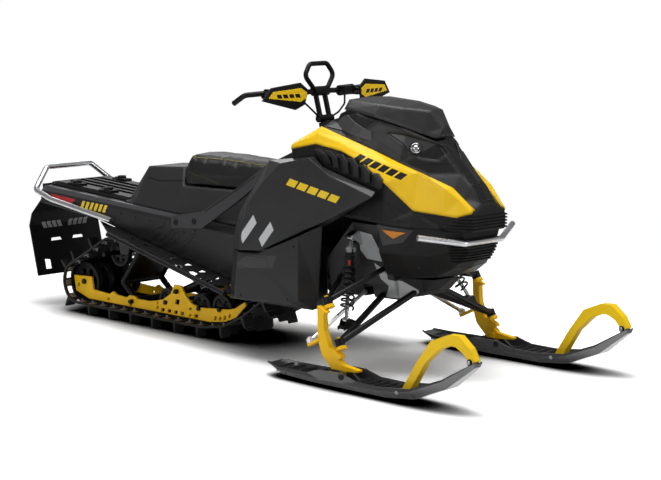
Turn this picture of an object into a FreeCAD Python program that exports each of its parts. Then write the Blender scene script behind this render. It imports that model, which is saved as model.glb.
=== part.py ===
import FreeCAD, Part
import os
from math import atan2, cos, degrees, hypot, pi, radians, sin, sqrt, tan

# A mountain snowmobile.  Millimetres, +X forward, +Y left, +Z up, ground at z = 0.
# The origin is under the middle of the machine.  Points given for a side piece are
# those of the left side (+Y); the right side is its mirror image.

V = FreeCAD.Vector

# ---------------------------------------------------------------- driving sizes
TOUCH = 0.3            # gap between a piece and the seat it rests on
CUT = 1.0              # how far a cut runs past the face that it opens
FLAT = 1e-6            # points this close to a plane lie in it
MITRE = 0.35           # least divisor of a mitred corner, so that a sharp one stays short
BEND_SHARE = 0.48      # most of a tube's straight run that the bend at one end may take
PIN_GAP = 0.05         # radial running clearance of a turning pin

# track
TRACK_WIDTH = 381.0
BELT = 9.0
BELT_TURN = 12.0       # degrees between the flats of the belt round a wheel
BELT_EASE = 1.2        # gap that keeps those flats off the wheel
LUG_HEIGHT = 45.0
LUG_FOOT = 8.0         # half thickness of a lug at the belt
LUG_TIP = 4.5          # and at its tip
LUG_ROWS = 43
LUG_BLOCKS = ((-190.5, -138.0), (-112.0, -16.0), (16.0, 112.0), (138.0, 190.5))
LUG_START = 0.49       # where the first lug stands, in pitches along the belt
BELT_WINDOW = (19.0, 146.0, 176.0)     # half length along the belt, inner y, outer y
WINDOW_START = 0.99    # the windows lie half a pitch from the lugs
REAR_AXLE_X = -1172.0
REAR_WHEEL_R = 89.0
DRIVE_X = 100.0
DRIVE_Z = 343.0
DRIVE_R = 92.0
TOP_IDLER_X = -930.0
TOP_IDLER_Z = 305.0
TOP_IDLER_R = 65.0
FRONT_BEND_X = -300.0
FRONT_BEND_R = 454.0
SMALL_WHEEL_R = 63.0

# skid frame
RAIL_Y = 135.0
RAIL_THICK = 10.0
STRIP_HEIGHT = 12.0
STRIP_WIDTH = 15.0
STRIP_START = 37.0     # from the rear axle to the strip's rear end
STRIP_FRONT = -300.0
RAIL_FLAT = 5.0        # how far the rail's flat foot goes on behind the strip
AXLE_R = 12.0
WHEEL_WIDTH = 22.0
WHEEL_WEB = 4.0        # half thickness of a wheel's web
WHEEL_RIM = 14.0
WHEEL_HUB = 12.0
WHEEL_HOLES = 6
WHEEL_HOLE = 0.3       # a hole's radius as a share of the web's width
WHEEL_GAP = 3.0        # between a wheel and the rail beside it
INNER_WHEEL_Y = 48.0   # the second pair of rear wheels
SHAFT_R = 10.0
ARM_TUBE_R = 14.0
ARM_IN = 4.0           # from the rail's inner face to an arm's side tube
PIVOT_TUBE_R = 16.0    # cross tube round a pivot
PIVOT_BOLT = 20.0      # how far the lower pivots' bolts stand out of that tube
CROSS_TUBE_R = 11.2
SMALL_WHEEL_X = (-593.0, -371.0, -235.0)
SMALL_WHEEL_LIFT = (0.0, 0.0, 12.0)     # how far each stands above the belt's flat run
AXLE_NUT = 9.0         # how far a shaft stands out of the rail
FRONT_ARM_LOW = (-515.0, 176.0)
FRONT_ARM_TOP = (-40.0, 376.0)
REAR_ARM_LOW = (-828.0, 92.0)
REAR_ARM_KNEE = (-922.0, 168.0)
ARM_PLATE = 6.0        # half thickness of the plate between the upper rear arm's tubes
PLATE_SHORT = 34.0     # how far that plate ends from the pivot
REAR_ARM_TOP = (-780.0, 345.0)
TRACK_SHOCK_R = 24.0
TRACK_SHOCK_ROD_R = 8.0
TRACK_SHOCK_EYE = 15.0
TRACK_SHOCK_EYE_W = 40.0
FRONT_SPLIT = 0.55     # share of the front shock's length that its cylinder takes
REAR_SPLIT = 0.5
DRUM_Y = 100.0         # the two drive drums and the shaft they sit on
DRUM_HALF = 16.0
DRIVE_SHAFT_R = 16.0

LOW_FLOOR = LUG_HEIGHT + BELT + TOUCH           # where the skid frame stands in the belt
RAIL_BASE = LOW_FLOOR + STRIP_HEIGHT + TOUCH
REAR_AXLE_Z = LUG_HEIGHT + BELT + BELT_EASE + REAR_WHEEL_R
STRIP_REAR = REAR_AXLE_X + STRIP_START
# x, z of the rail plate, anticlockwise from the rear bracket
RAIL_OUTLINE = (
    (REAR_AXLE_X - 78.0, 166.0), (REAR_AXLE_X - 64.0, 94.0), (STRIP_REAR - RAIL_FLAT, RAIL_BASE),
    (STRIP_FRONT, RAIL_BASE), (-202.0, 80.0), (-132.0, 107.0), (-66.0, 170.0), (-76.0, 182.0),
    (-140.0, 146.0), (-184.0, 136.0), (-364.0, 122.0), (-420.0, 133.0), (-458.0, 162.0), (-490.0, 204.0),
    (-536.0, 204.0), (-560.0, 160.0), (-613.0, 127.0), (-703.0, 108.0), (-790.0, 108.0), (-812.0, 118.0),
    (-846.0, 118.0), (-866.0, 106.0), (-936.0, 108.0), (-965.0, 121.0), (-990.0, 106.0),
    (REAR_AXLE_X + 64.0, 112.0), (REAR_AXLE_X + 52.0, 172.0),
)
# x, z, half length and half height of the windows in the rail plate
RAIL_HOLES = (
    (REAR_AXLE_X - 44.0, 124.0, 9.0, 9.0), (-999.0, 83.0, 9.0, 6.0), (-838.0, 76.0, 9.0, 6.0),
    (-650.0, 86.0, 8.0, 6.0), (-614.0, 80.0, 13.0, 8.0), (-570.0, 80.0, 13.0, 8.0),
    (-526.0, 80.0, 13.0, 8.0), (-482.0, 80.0, 13.0, 8.0), (-516.0, 128.0, 17.0, 12.0),
    (-430.0, 80.0, 8.0, 5.0), (-390.0, 80.0, 13.0, 8.0), (-428.0, 108.0, 9.0, 6.0),
    (-264.0, 88.0, 8.0, 9.0), (-233.0, 90.0, 8.0, 9.0), (-202.0, 97.0, 8.0, 9.0), (-172.0, 108.0, 8.0, 8.0),
    (-650.0, 108.0, 6.0, 5.0),
)
HOLE_SLANT = 0.5       # how far those windows lean, as a share of their half height

# tunnel and boards
WALL = 3.0
BEVEL_WALL = (1.8, 0.5)      # how far in and down the inner bevel lies from the outer one
TUNNEL_REAR = -1384.0
TUNNEL_HALF = 222.0
TUNNEL_TOP_HALF = 200.0
REACH = 2.0 * TUNNEL_HALF    # a cut this long passes through everything beside it
BEVEL_DROP = 27.0
# x, top z, lower edge z
TUNNEL_SECTIONS = (
    (-1384.0, 583.0, 505.0),
    (-940.0, 558.0, 462.0),
    (-476.0, 532.0, 366.0),
    (100.0, 503.0, 240.0),
    (505.0, 486.0, 244.0),
)
# x, z of the top and foot of each raised slash on the tunnel's side
SLASHES = (
    ((-530.0, 470.0), (-596.0, 439.0)),
    ((-457.0, 466.0), (-518.0, 422.0)),
    ((-384.0, 464.0), (-458.0, 411.0)),
    ((-312.0, 462.0), (-392.0, 400.0)),
)
SLASH_WIDE = 22.0
SLASH_OUT = 2.5
# x, z of the plate that carries the upper rear arm, from that arm's pivot
HANGER = ((-60.0, 130.0), (70.0, 130.0), (24.0, -22.0), (-24.0, -22.0))
BOARD_REAR = -760.0
BOARD_FRONT = 40.0
BOARD_FOOT = 330.0      # how far the board goes on inside the footwell
FOOT_EDGE = 314.0
BOARD_REAR_Z = 419.0
BOARD_FRONT_Z = 256.0
BOARD_EDGE_REAR = 332.0
BOARD_EDGE_FRONT = 368.0
BOARD_THICK = 3.0
BOARD_TUBE_R = 11.0
BOARD_TUBE_END = 8.0    # how far the edge tube stands out behind the board
BOARD_TUBE_RISE = 4.0
TUBE_LAP = 2.0          # how deep the board's edge lies in that tube, from its axis
BOARD_TAIL = 190.0      # how far the board's inner edge goes on behind its outer one
BOARD_LIP = (3.0, 22.0)      # thickness and height of the upright edge beside the tunnel
BOARD_LAP = 1.0
FOOT_SINK = 0.8
BAYS = 8
BAY_START = 40.0
BAY_END = 20.0
# corners of each bay's two openings: from the bay's start or end, and from the outer or inner edge
BAY_OUTER = (0.0, 22.0, 42.0, 20.0, 16.0, 66.0)
BAY_INNER = (20.0, 42.0, 52.0, 30.0, 14.0, 48.0)

# bodywork
HOOD_WALL = 4.0
SEAM = (366.0, 640.0, -0.0515)     # x and z of a point on the hood's lower seam, and its slope
# Left half of the hood.  x, centre z, shoulder (y, z), colour panel's top edge (y, z),
# its crest (y, z), its lower edge (y, z), and the seam's y.
HOOD = (
    (366.0, 925.0, (150.0, 930.0), (262.0, 905.0), (280.0, 895.0), (286.0, 880.0), 262.0),
    (480.0, 985.0, (160.0, 1000.0), (225.0, 972.0), (248.0, 945.0), (262.0, 906.0), 258.0),
    (600.0, 1030.0, (150.0, 1032.0), (197.0, 929.0), (225.0, 910.0), (238.0, 884.0), 252.0),
    (714.0, 1005.0, (140.0, 1008.0), (171.0, 890.0), (215.0, 868.0), (234.0, 842.0), 248.0),
    (828.0, 975.0, (112.0, 978.0), (146.0, 846.0), (192.0, 842.0), (230.0, 772.0), 245.0),
    (943.0, 938.0, (58.0, 930.0), (117.0, 805.0), (158.0, 815.0), (190.0, 672.0), 220.0),
    (1061.0, 822.0, (46.0, 812.0), (90.0, 762.0), (128.0, 756.0), (149.0, 661.0), 150.0),
    (1112.0, 775.0, (42.0, 770.0), (84.0, 722.0), (108.0, 718.0), (130.0, 656.0), 132.0),
    (1160.0, 712.0, (40.0, 708.0), (76.0, 684.0), (90.0, 682.0), (98.0, 672.0), 96.0),
)
PANEL_THICK = 6.0
PANEL_LEAN = (0.8, 0.6)      # sideways and upward share of that thickness
OPEN = 20.0            # how far a hollow runs on past an open side
BUMPER_R = 12.0
BUMPER_BEND = 30.0
BUMPER_END = (1047.0, 282.0, 588.0)
BUMPER_FRONT = (108.0, 556.0)          # y, z of its front corner
# Left half of the belly pan.  x, seam y, knee (y, z), bottom corner (y, z), bottom z.
BELLY = (
    (800.0, 243.0, (232.0, 500.0), (190.0, 412.0), 396.0),
    (900.0, 228.0, (212.0, 500.0), (165.0, 400.0), 390.0),
    (1000.0, 186.0, (168.0, 500.0), (120.0, 412.0), 404.0),
    (1075.0, 146.0, (130.0, 520.0), (92.0, 455.0), 445.0),
    (1124.0, 112.0, (96.0, 560.0), (74.0, 520.0), 515.0),
)
# x, z outlines on the left side of the hood
LAMP = ((752.0, 962.0), (826.0, 922.0), (852.0, 893.0), (902.0, 871.0), (966.0, 866.0), (986.0, 898.0),
        (940.0, 926.0), (880.0, 941.0), (818.0, 956.0))
LAMP_RIDGE = 22.0      # half width left between the lamps
LAMP_LENS = (880.0, 108.0, 908.0, 24.0)
LAMP_AIM = (0.72, 0.62, 0.31)
LAMP_THICK = 7.0
LAMP_LIP = 1.0         # how far the lamp's face stands out of the hood's inner skin
LENS_SINK = 0.5        # how deep the lens lies under the hood's outer skin
INLAY_THICK = 2.5
GROUND_THICK = 1.5
LAMP_RANGE = 80.0      # length of the tube that a lens is cut from
WINDOW_Y = 130.0
WINDOW = ((541.0, 1026.0), (492.0, 974.0), (700.0, 925.0), (688.0, 962.0), (626.0, 986.0))
# (x, z) of each louvre's top and foot
VENTS = (
    ((482.0, 886.0), (534.0, 832.0)),
    ((532.0, 884.0), (574.0, 818.0)),
    ((590.0, 874.0), (627.0, 800.0)),
    ((646.0, 862.0), (680.0, 789.0)),
    ((708.0, 838.0), (736.0, 772.0)),
    ((766.0, 812.0), (796.0, 756.0)),
)
VENT_DEEP = 15.0
VENT_BULGE = 12.0
VENT_THICK = 27.0
VENT_GROUND = ((476.0, 892.0), (500.0, 838.0), (530.0, 812.0), (806.0, 748.0), (784.0, 806.0), (700.0, 842.0),
               (600.0, 874.0), (530.0, 892.0))
# x, y outlines of the two panels on the nose
NOSE_V = ((948.0, 44.0), (1020.0, 0.0), (948.0, -44.0), (1096.0, -40.0), (1112.0, 0.0), (1096.0, 40.0))
NOSE_PLATE = ((1101.0, 40.0), (1117.0, 0.0), (1101.0, -40.0), (1157.0, -37.0), (1157.0, 37.0))
NOSE_RANGE = (650.0, 1100.0)           # between these heights
NOSE_GRILLE = ((1040.0, 611.0), (1132.0, 658.0), (1180.0, 664.0), (1180.0, 604.0))
BELLY_GRILLE = ((1070.0, 470.0), (1080.0, 541.0), (1150.0, 541.0), (1150.0, 470.0))
BEZEL = ((798.0, 614.0), (955.0, 600.0), (911.0, 549.0), (822.0, 531.0))
REFLECTOR = ((822.0, 594.0), (930.0, 590.0), (874.0, 562.0))
SLAT = 5.0
SLAT_OUT = 8.0
GRILLE_BACK = 2.0
NOSE_SLATS = (605.0, 12.0, 5)          # lowest slat's z, pitch, count
BELLY_SLATS = (474.0, 12.0, 6)
BEZEL_THICK = 3.0
REFLECTOR_THICK = 3.7
VISOR_HOLLOW = 2.0     # how much higher the visor's underside is at the middle
# x, then the left half of the visor: edge (y, z), foot (y, z), top z
VISOR = (
    (528.0, (120.0, 1080.0), (150.0, 1042.0), 1086.0),
    (690.0, (118.0, 1070.0), (150.0, 1020.0), 1082.0),
    (805.0, (84.0, 1058.0), (120.0, 990.0), 1074.0),
    (885.0, (40.0, 1050.0), (82.0, 962.0), 1057.0),
    (938.0, (24.0, 985.0), (56.0, 945.0), 1000.0),
)
# outer face and inner rim of the left upper side panel, (x, y, z), same number of corners
UPPER_FACE = (
    (357.0, 338.0, 827.0), (500.0, 321.0, 856.0), (608.0, 312.0, 792.0), (817.0, 291.0, 726.0),
    (574.0, 322.0, 608.0), (274.0, 360.0, 472.0), (151.0, 374.0, 457.0), (164.0, 368.0, 573.0),
    (183.0, 364.0, 644.0), (260.0, 351.0, 740.0),
)
UPPER_RIM = (
    (242.0, 291.6, 828.0), (484.0, 275.6, 858.0), (530.0, 270.0, 819.0), (808.0, 262.0, 742.0),
    (574.0, 268.0, 600.0), (274.0, 290.0, 466.0), (30.0, 310.0, 450.0), (72.0, 310.0, 587.0),
    (115.0, 308.0, 653.0), (182.0, 300.0, 741.0),
)
LOWER_FACE = (
    (137.0, 372.0, 446.0), (250.0, 370.0, 452.0), (483.0, 368.0, 545.0), (482.0, 368.0, 290.0),
    (442.0, 370.0, 271.0), (110.0, 372.0, 250.0),
)
LOWER_RIM = (
    (60.0, 326.0, 446.0), (250.0, 300.0, 452.0), (552.0, 296.0, 592.0), (529.0, 296.0, 296.0),
    (500.0, 296.0, 240.0), (39.0, 330.0, 240.0),
)
SIDE_WALL = 4.0

# engine bay
ENGINE = (525.0, 780.0, 440.0, 690.0)        # rear x, front x, bottom, top
# x, then the left half of the cast bulkhead: top (y, z), waist (y, z), bottom (y, z)
BULKHEAD = (
    (TUNNEL_SECTIONS[-1][0] + TOUCH, (TUNNEL_HALF, 450.0), (205.0, 330.0), (150.0, 292.0)),
    (620.0, (196.0, 600.0), (150.0, 420.0), (112.0, 292.0)),
    (794.0, (196.0, 600.0), (150.0, 420.0), (112.0, 296.0)),
)
# y, z corners of the ears that hold a front shock's top, from its upper eye
TOP_EAR = ((-67.0, 40.0), (12.0, 12.0), (12.0, 0.0), (-10.0, -10.0), (-67.0, -45.0))
TOP_EAR_THICK = 7.0
# x, top y, bottom y, bottom z of the keel in front of it
KEEL = (
    (794.3, 118.0, 108.0, 298.0),
    (885.0, 84.0, 66.0, 318.0),
)
KEEL_TOP = 386.0
BULKHEAD_WALL = 6.0
BULKHEAD_OPEN = 40.0   # how far its hollow runs on past its open top
SKID = (
    (885.3, 82.0, 386.0, 62.0, 330.0),
    (935.0, 66.0, 386.0, 40.0, 342.0),
    (1000.0, 44.0, 400.0, 24.0, 396.0),
)

# seat, console and rear
# x, then the left half of the seat: top, middle and lower corner (y, z)
SEAT_CROWN = 6.0       # how much higher it is at the middle
SEAT = (
    (-500.0, 90.0, 752.0, 118.0, 690.0, 124.0, 652.0),
    (-455.0, 105.0, 784.0, 130.0, 690.0, 135.0, 652.0),
    (-250.0, 95.0, 786.0, 128.0, 690.0, 132.0, 658.0),
    (0.0, 75.0, 778.0, 100.0, 700.0, 105.0, 662.0),
    (150.0, 60.0, 800.0, 85.0, 720.0, 90.0, 666.0),
)
# x, then the left half of the tank under it: top and lower corner (y, z)
TANK_SKIRT = 30.0      # height of its upright lower edge
TANK = (
    (-820.0, 150.0, 566.0, 188.0, 520.0),
    (-742.0, 100.0, 714.0, 188.0, 520.0),
    (-505.0, 98.0, 728.0, 188.0, 516.0),
    (-470.0, 135.0, 650.0, 188.0, 514.0),
    (-250.0, 135.0, 654.0, 188.0, 510.0),
    (150.0, 110.0, 660.0, 170.0, 495.0),
    (235.0, 90.0, 800.0, 150.0, 490.0),
)
# x, then the left half of the console: top z, shoulder (y, z), side (y, z), foot y
CONSOLE = (
    (235.3, 850.0, (95.0, 845.0), (150.0, 700.0), 165.0),
    (300.0, 930.0, (130.0, 925.0), (215.0, 780.0), 215.0),
    (365.7, 925.0, (150.0, 930.0), (262.0, 860.0), 255.0),
)
CONSOLE_FOOT = 560.0
POST_SEAT_R = 30.0
POST_SEAT_DEEP = 90.0  # how far below the post's foot its bearing reaches
POST_BORE_DEEP = 60.0
GAUGE = ((402.0, 1000.0), (412.0, 1016.0), (500.0, 1050.0), (520.0, 1044.0))     # x, top z
GAUGE_HALF = 52.0
GAUGE_EDGE = 3.0       # fall from its middle to its edge
GAUGE_SIDE = (8.0, 30.0)     # how far out and down its side corner lies
GAUGE_FOOT = 900.0
GRAB = ((-852.0, 470.0), (-1290.0, 528.0), (-1408.0, 562.0))     # x, z along the tunnel's side
GRAB_TOP = (-1456.0, 129.0, 658.0)
GRAB_R = 13.0
GRAB_BEND = 40.0
# x, half width, top z
DECK = ((-1384.0, 165.0, 596.0), (-1350.0, 165.0, 602.0), (-822.0, 165.0, 571.0))
DECK_EDGE = (12.0, 14.0)     # how far in and down its edge is cut off
DECK_FOOT = TUNNEL_SECTIONS[2][1]      # below the tunnel's top all along the deck
DECK_GROOVES = ((-96.0, -60.0), (-44.0, -8.0), (8.0, 44.0), (60.0, 96.0))
DECK_GROOVE = ((-1340.0, 593.0), (-1340.0, 620.0), (-880.0, 590.0), (-880.0, 566.0))     # x, z
DECK_SOCKETS = ((-1221.0, 614.0), (-993.0, 601.0))     # x, top z
DECK_SOCKET_Y = 133.0
DECK_SOCKET_R = 20.0
DECK_BORE_R = 10.0
DECK_RELIEF_R = 12.0   # hole in the deck under each socket's bore
SOCKET_DEEP = 30.0
SOCKET_FOOT = (44.0, 24.0, 12.0)       # half length, half width, top below the socket's
SOCKET_TAB = (40.0, 8.0, 11.0, 7.0)    # rear end, front end, half width, top below the socket's
FLAP_HALF = 205.0
FLAP_TOP = 8.0         # thickness of its upper edge
# x, z of the flap's rear face from top to bottom, and of its front face from the bottom up
FLAP_REAR = ((TUNNEL_REAR - FLAP_TOP, 590.0), (TUNNEL_REAR - FLAP_TOP, 530.0), (-1484.0, 440.0),
             (-1504.0, 380.0), (-1444.0, 145.0))
FLAP_FRONT = ((-1438.0, 146.5), (-1497.5, 380.0), (-1478.5, 443.0), (TUNNEL_REAR - TOUCH, 524.0),
              (TUNNEL_REAR - TOUCH, 590.0))
# y, z outlines of the flap's openings, left side
FLAP_HOLES = (
    ((30.0, 299.0), (38.0, 313.0), (92.0, 313.0), (98.0, 299.0)),
    ((118.0, 172.0), (118.0, 214.0), (152.0, 220.0), (152.0, 172.0)),
)
REAR_REFLECTOR = ((-1315.0, 552.0), (-1277.0, 535.0), (-1151.0, 520.0), (-1121.0, 540.0))
REAR_REFLECTOR_THICK = 1.5
TAIL_LAMP = (62.0, 545.0, 573.0)       # half width, bottom z, top z
TAIL_LAMP_THICK = 8.7
# x, inner y, outer y, bottom z, top z of the left brace from the tunnel to the console
BRACE = (
    (-440.0, TUNNEL_HALF + TOUCH, TUNNEL_HALF + 12.0, 476.0, 530.0),
    (-240.0, TUNNEL_HALF + TOUCH, TUNNEL_HALF + 14.0, 494.0, 566.0),
    (0.0, 215.0, 236.0, 640.0, 695.0),
    (170.0, 225.0, 250.0, 745.0, 795.0),
    (310.0, 140.0, 165.0, 838.0, 878.0),
)

# steering and skis
KING_TOP = (722.0, 440.0, 325.0)
KING_LOW = (798.0, 450.0, 172.0)
KING_PIN_R = 8.0
LUG_GAP = 3.0          # between an arm's eye and the spindle lug below it
EYE_R = 19.0
EYE_HEIGHT = 28.0
SKI_Y = 457.0
SKI_BOLT_X = 812.0
SKI_BOLT_Z = 52.0
SKI_BOLT_R = 7.0
STEER_LIMIT = 33.0
STEER_FOOT = (270.0, 0.0, 982.0)
STEER_HEAD = (240.0, 0.0, 1085.0)
BAR_R = 11.0
BAR_BEND = 30.0
POST_TUBE_R = 11.0
POST_TUBE_Y = 26.0
POST_TUBE_OUT = 12.0   # how far the post's tubes go on past the bar's axis
POST_FOOT_R = 16.0
POST_FOOT_HALF = 40.0
CLAMP_R = 20.0
CLAMP_HALF = 42.0
POST_PIN_R = 12.0
POST_PIN_LENGTH = 55.0
LOWER_ARM_IN = ((850.0, 74.0, 330.0), (710.0, 104.0, 312.0))
UPPER_ARM_IN = ((778.0, 140.0, 440.0), (540.0, 180.0, 372.0))
ARM_R = 13.0
UPPER_ARM_R = 11.0
ARM_START = 0.8        # where an arm's tubes start in its eye, as a share of the eye's radius
SHOCK_TOP = (632.0, 217.0, 540.0)
SHOCK_LOW = (752.0, 366.0, 243.0)
SHOCK_EYE_W = 26.0
SHOCK_R = 20.0
SHOCK_ROD_R = 8.0
SHOCK_EYE = 20.0
SHOCK_SPLIT = 0.55
# y, z corners of the lower ears, from the lower eye, and the floor between them
LOW_EAR = ((30.0, -36.0), (-40.0, -8.0), (-12.0, 6.0), (12.0, 6.0))
LOW_EAR_THICK = 6.0
EAR_FLOOR = (20.0, 30.0, -32.0, -20.0)      # half length, half width, bottom z, top z
# a shock's eyes and neck, as shares of its eye size: neck, rod's start, wall round the bore
NECK_SHARE = 2.2
ROD_SHARE = 0.7
EYE_SHARE = 0.55
SPRING_R = 25.0
SPRING_START = 0.34
SPRING_STOP = 0.86
SPRING_WIRE_R = 4.0
SPRING_TURNS = 8
STEER_ARM_THICK = 12.0
STEER_ARM_R = 16.0
TIE_GAP = 0.5
STEER_ARM_REACH = 150.0
STEER_ARM_ROOT = 78.0
STEER_ARM_AT = 0.22    # share of the kingpin's length where the arm is
STEER_ARM_TIP_HALF = 13.0
STEER_ARM_ROOT_OUT = 26.0
STEER_ARM_ROOT_IN = 10.0
SPINDLE_LUG_R = 22.0
SPINDLE_LUG_THICK = 14.0
PIN_ROOT = 5.0         # how deep a kingpin starts in its lug
PIN_OUT = 7.0          # and how far it goes on past the arm's eye
BLADE_IN = 8.0         # inner face of the spindle's blade, from the ski's middle
BLADE_FOOT = 92.0      # where the blade's foot narrows to the ski bolt's boss
# x, z of the blade
BLADE = (
    (698.0, 306.0), (722.0, 298.0), (752.0, 286.0), (732.0, 276.0), (736.0, 215.0), (765.0, 150.0),
    (800.0, 140.0), (830.0, 126.0), (828.0, 116.0), (812.0, 112.0), (836.0, BLADE_FOOT), (920.0, 82.0),
    (918.0, 74.0), (848.0, 68.0), (780.0, 66.0), (722.0, 120.0), (702.0, 175.0),
)
# x, bottom z, edge z, half width and wall height of the left ski from tail to tip
SKI = (
    (442.0, 42.0, 52.0, 42.0, 3.0),
    (520.0, 14.0, 36.0, 64.0, 12.0),
    (690.0, 8.0, 34.0, 70.0, 16.0),
    (760.0, 8.0, 34.0, 71.0, 38.0),
    (880.0, 8.0, 35.0, 71.0, 38.0),
    (960.0, 8.0, 35.0, 72.0, 18.0),
    (1090.0, 8.0, 36.0, 72.0, 16.0),
    (1230.0, 24.0, 56.0, 72.0, 12.0),
    (1380.0, 84.0, 116.0, 62.0, 8.0),
    (1505.0, 180.0, 196.0, 26.0, 3.0),
)
SKI_FLAT = 0.55        # half width of the flat sole, as a share of the ski's
SKI_RIM = (3.0, 10.0, 15.0, 2.0)       # rim's outer and inner top, its foot, and the floor's fall
# x, half width of each rib
SKI_RIBS = (
    (500.0, 46.4), (560.0, 58.0), (620.0, 58.0), (680.0, 58.0), (930.0, 58.0), (970.0, 58.0), (1010.0, 58.0),
    (1050.0, 58.0), (1090.0, 58.0),
)
RIB_THICK = 4.0
RIB_FOOT = 24.0
RIB_TOP = 46.0
RUNNER_HALF = 5.0
RUNNER = (640.0, 655.0, 1060.0, 1090.0)     # x of its rear top, rear foot, front foot, front top
SADDLE_GAP = 0.5
SADDLE_THICK = 12.0
FOOT_HALF = 17.0
FOOT_R = 14.0
SADDLE = ((-70.0, 30.0), (90.0, 30.0), (22.0, 72.0), (-22.0, 72.0))     # x from the bolt, z
BOLT_HEAD = 6.0
LOOP_OUTER = ((1140.0, 36.6), (1220.0, 160.0), (1290.0, 250.0), (1375.0, 284.0), (1425.0, 286.0),
              (1478.0, 245.0), (1504.0, 202.0))
LOOP_INNER = ((1482.0, 186.0), (1448.0, 225.0), (1412.0, 243.0), (1385.0, 245.0), (1330.0, 222.0),
              (1262.0, 160.0), (1188.0, 47.0))
LOOP_HALF = 17.0
BAR = ((150.0, 402.0, 1058.0), (208.0, 396.0, 1094.0), (250.0, 330.0, 1100.0), (254.0, 130.0, 1092.0),
       (242.0, 45.0, 1094.0))
# y, z corners of the left handguard and its coloured insert; their face leans back outwards
GUARD = ((150.0, 1110.0), (190.0, 1140.0), (330.0, 1124.0), (372.0, 1072.0), (210.0, 1030.0), (165.0, 1050.0))
INSERT = ((160.0, 1100.0), (190.0, 1118.0), (325.0, 1108.0), (345.0, 1082.0), (190.0, 1062.0),
          (162.0, 1076.0))
GUARD_THICK = 8.0
INSERT_THICK = 4.0
# x of the guard's front face: at its first point, and its slope along y and z from there
GUARD_FACE = (324.0, 150.0, 1090.0, -0.15, 0.05)
STAY_Y = (186.0, 329.0)
STAY_Z = 1096.0
STAY_R = 7.0
STAY_RISE = 4.0
STAY_RING = (5.0, 16.0)      # half width and radius of a stay's ring round the bar
RING_BACK = 1.0        # how far behind the bar's knee that ring's axis lies
RING_RISE = (0.5, 1.0)       # and how far above it, at its inner and outer end
GRIP = (194.0, 320.0, 17.0)  # inner y, outer y, radius
GRIP_RISE = 0.2
STRAP = ((240.0, 30.0, 1100.0), (244.0, 44.0, 1110.0), (236.0, 84.0, 1160.0), (230.0, 50.0, 1207.0),
         (230.0, -50.0, 1207.0), (236.0, -84.0, 1160.0), (244.0, -44.0, 1110.0), (240.0, -30.0, 1100.0))
STRAP_R = 10.0
STRAP_BEND = 26.0
BRAKE_LEVER = ((266.0, 140.0, 1080.0), (284.0, 186.0, 1076.0), (284.0, 230.0, 1075.0), (276.0, 300.0, 1073.0))
THROTTLE_LEVER = ((262.0, -150.0, 1076.0), (272.0, -172.0, 1064.0), (262.0, -200.0, 1060.0))
LEVER_R = 5.0
LEVER_BEND = 12.0
THROTTLE_BEND = 8.0
CONTROL_R = 22.0
BRAKE_CLAMP = ((254.0, 100.0, 1091.5), (253.0, 178.0, 1094.0))
THROTTLE_CLAMP = ((254.0, 130.0, 1092.0), (253.0, 178.0, 1094.0))
RESERVOIR = (246.0, 292.0, 96.0, 150.0, 1078.0, 1112.0)      # x, y and z ranges
CABLES = (
    ((276.0, 110.0, 1075.9), (290.0, 96.0, 1040.0), (288.0, 62.0, 1006.0), (272.0, 42.6, 990.0)),
    ((270.0, -150.0, 1074.0), (292.0, -120.0, 1040.0), (286.0, -70.0, 1006.0), (272.0, -42.6, 990.0)),
)
CABLE_R = 4.0
CABLE_BEND = 30.0
TIE_IN = (640.0, 140.0, 318.0)
TIE_WINDOW = (24.0, 44.0, 24.0)    # half length, inner y, height above the rod's end
TIE_WINDOW_OUT = 80.0  # how far that window reaches outwards past the rod's end
TIE_R = 8.0
TIE_EYE_R = 15.0
TIE_EYE_HEIGHT = 16.0
TIE_CAP_R = 9.0
TIE_CAP_START = 15.0
TIE_CAP_HEIGHT = 8.0


# ---------------------------------------------------------------- helpers
def box(x0, x1, y0, y1, z0, z1):
    return Part.makeBox(x1 - x0, y1 - y0, z1 - z0, V(x0, y0, z0))


def centred(centre, direction, r, length):
    """A cylinder along a direction with its middle at a point."""
    return Part.makeCylinder(r, length, centre - direction * (length / 2.0), direction)


def rod(p, q, r):
    """A cylinder from point p to point q."""
    a = V(*p)
    d = V(*q) - a
    return Part.makeCylinder(r, d.Length, a, d)


def prism_y(outline, y0, y1):
    """An (x, z) outline stretched from y0 to y1."""
    pts = [V(x, y0, z) for x, z in outline]
    face = Part.Face(Part.makePolygon(pts + pts[:1]))
    return face.extrude(V(0, y1 - y0, 0))


def prism_x(outline, x0, x1):
    """A (y, z) outline stretched from x0 to x1."""
    pts = [V(x0, y, z) for y, z in outline]
    face = Part.Face(Part.makePolygon(pts + pts[:1]))
    return face.extrude(V(x1 - x0, 0, 0))


def prism_z(outline, z0, z1):
    """An (x, y) outline stretched from z0 to z1."""
    pts = [V(x, y, z0) for x, y in outline]
    face = Part.Face(Part.makePolygon(pts + pts[:1]))
    return face.extrude(V(0, 0, z1 - z0))


def triangles(ring):
    """Fan of triangular faces over a ring of points."""
    return [Part.Face(Part.makePolygon([ring[0], ring[i], ring[i + 1], ring[0]]))
            for i in range(1, len(ring) - 1)]


def quad(a, b, c, d):
    """One flat face, or two triangles split at the shorter diagonal."""
    n = (b - a).cross(c - a)
    if n.Length > FLAT and abs((d - a).dot(n)) / n.Length < FLAT:
        return [Part.Face(Part.makePolygon([a, b, c, d, a]))]
    if (c - a).Length <= (d - b).Length:
        return triangles([a, b, c, d])
    return triangles([b, c, d, a])


def solid_of(faces):
    shell = Part.makeShell(faces)
    shell.sewShape()
    solid = Part.makeSolid(shell)
    if solid.Volume < 0:
        solid.reverse()
    return solid


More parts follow.
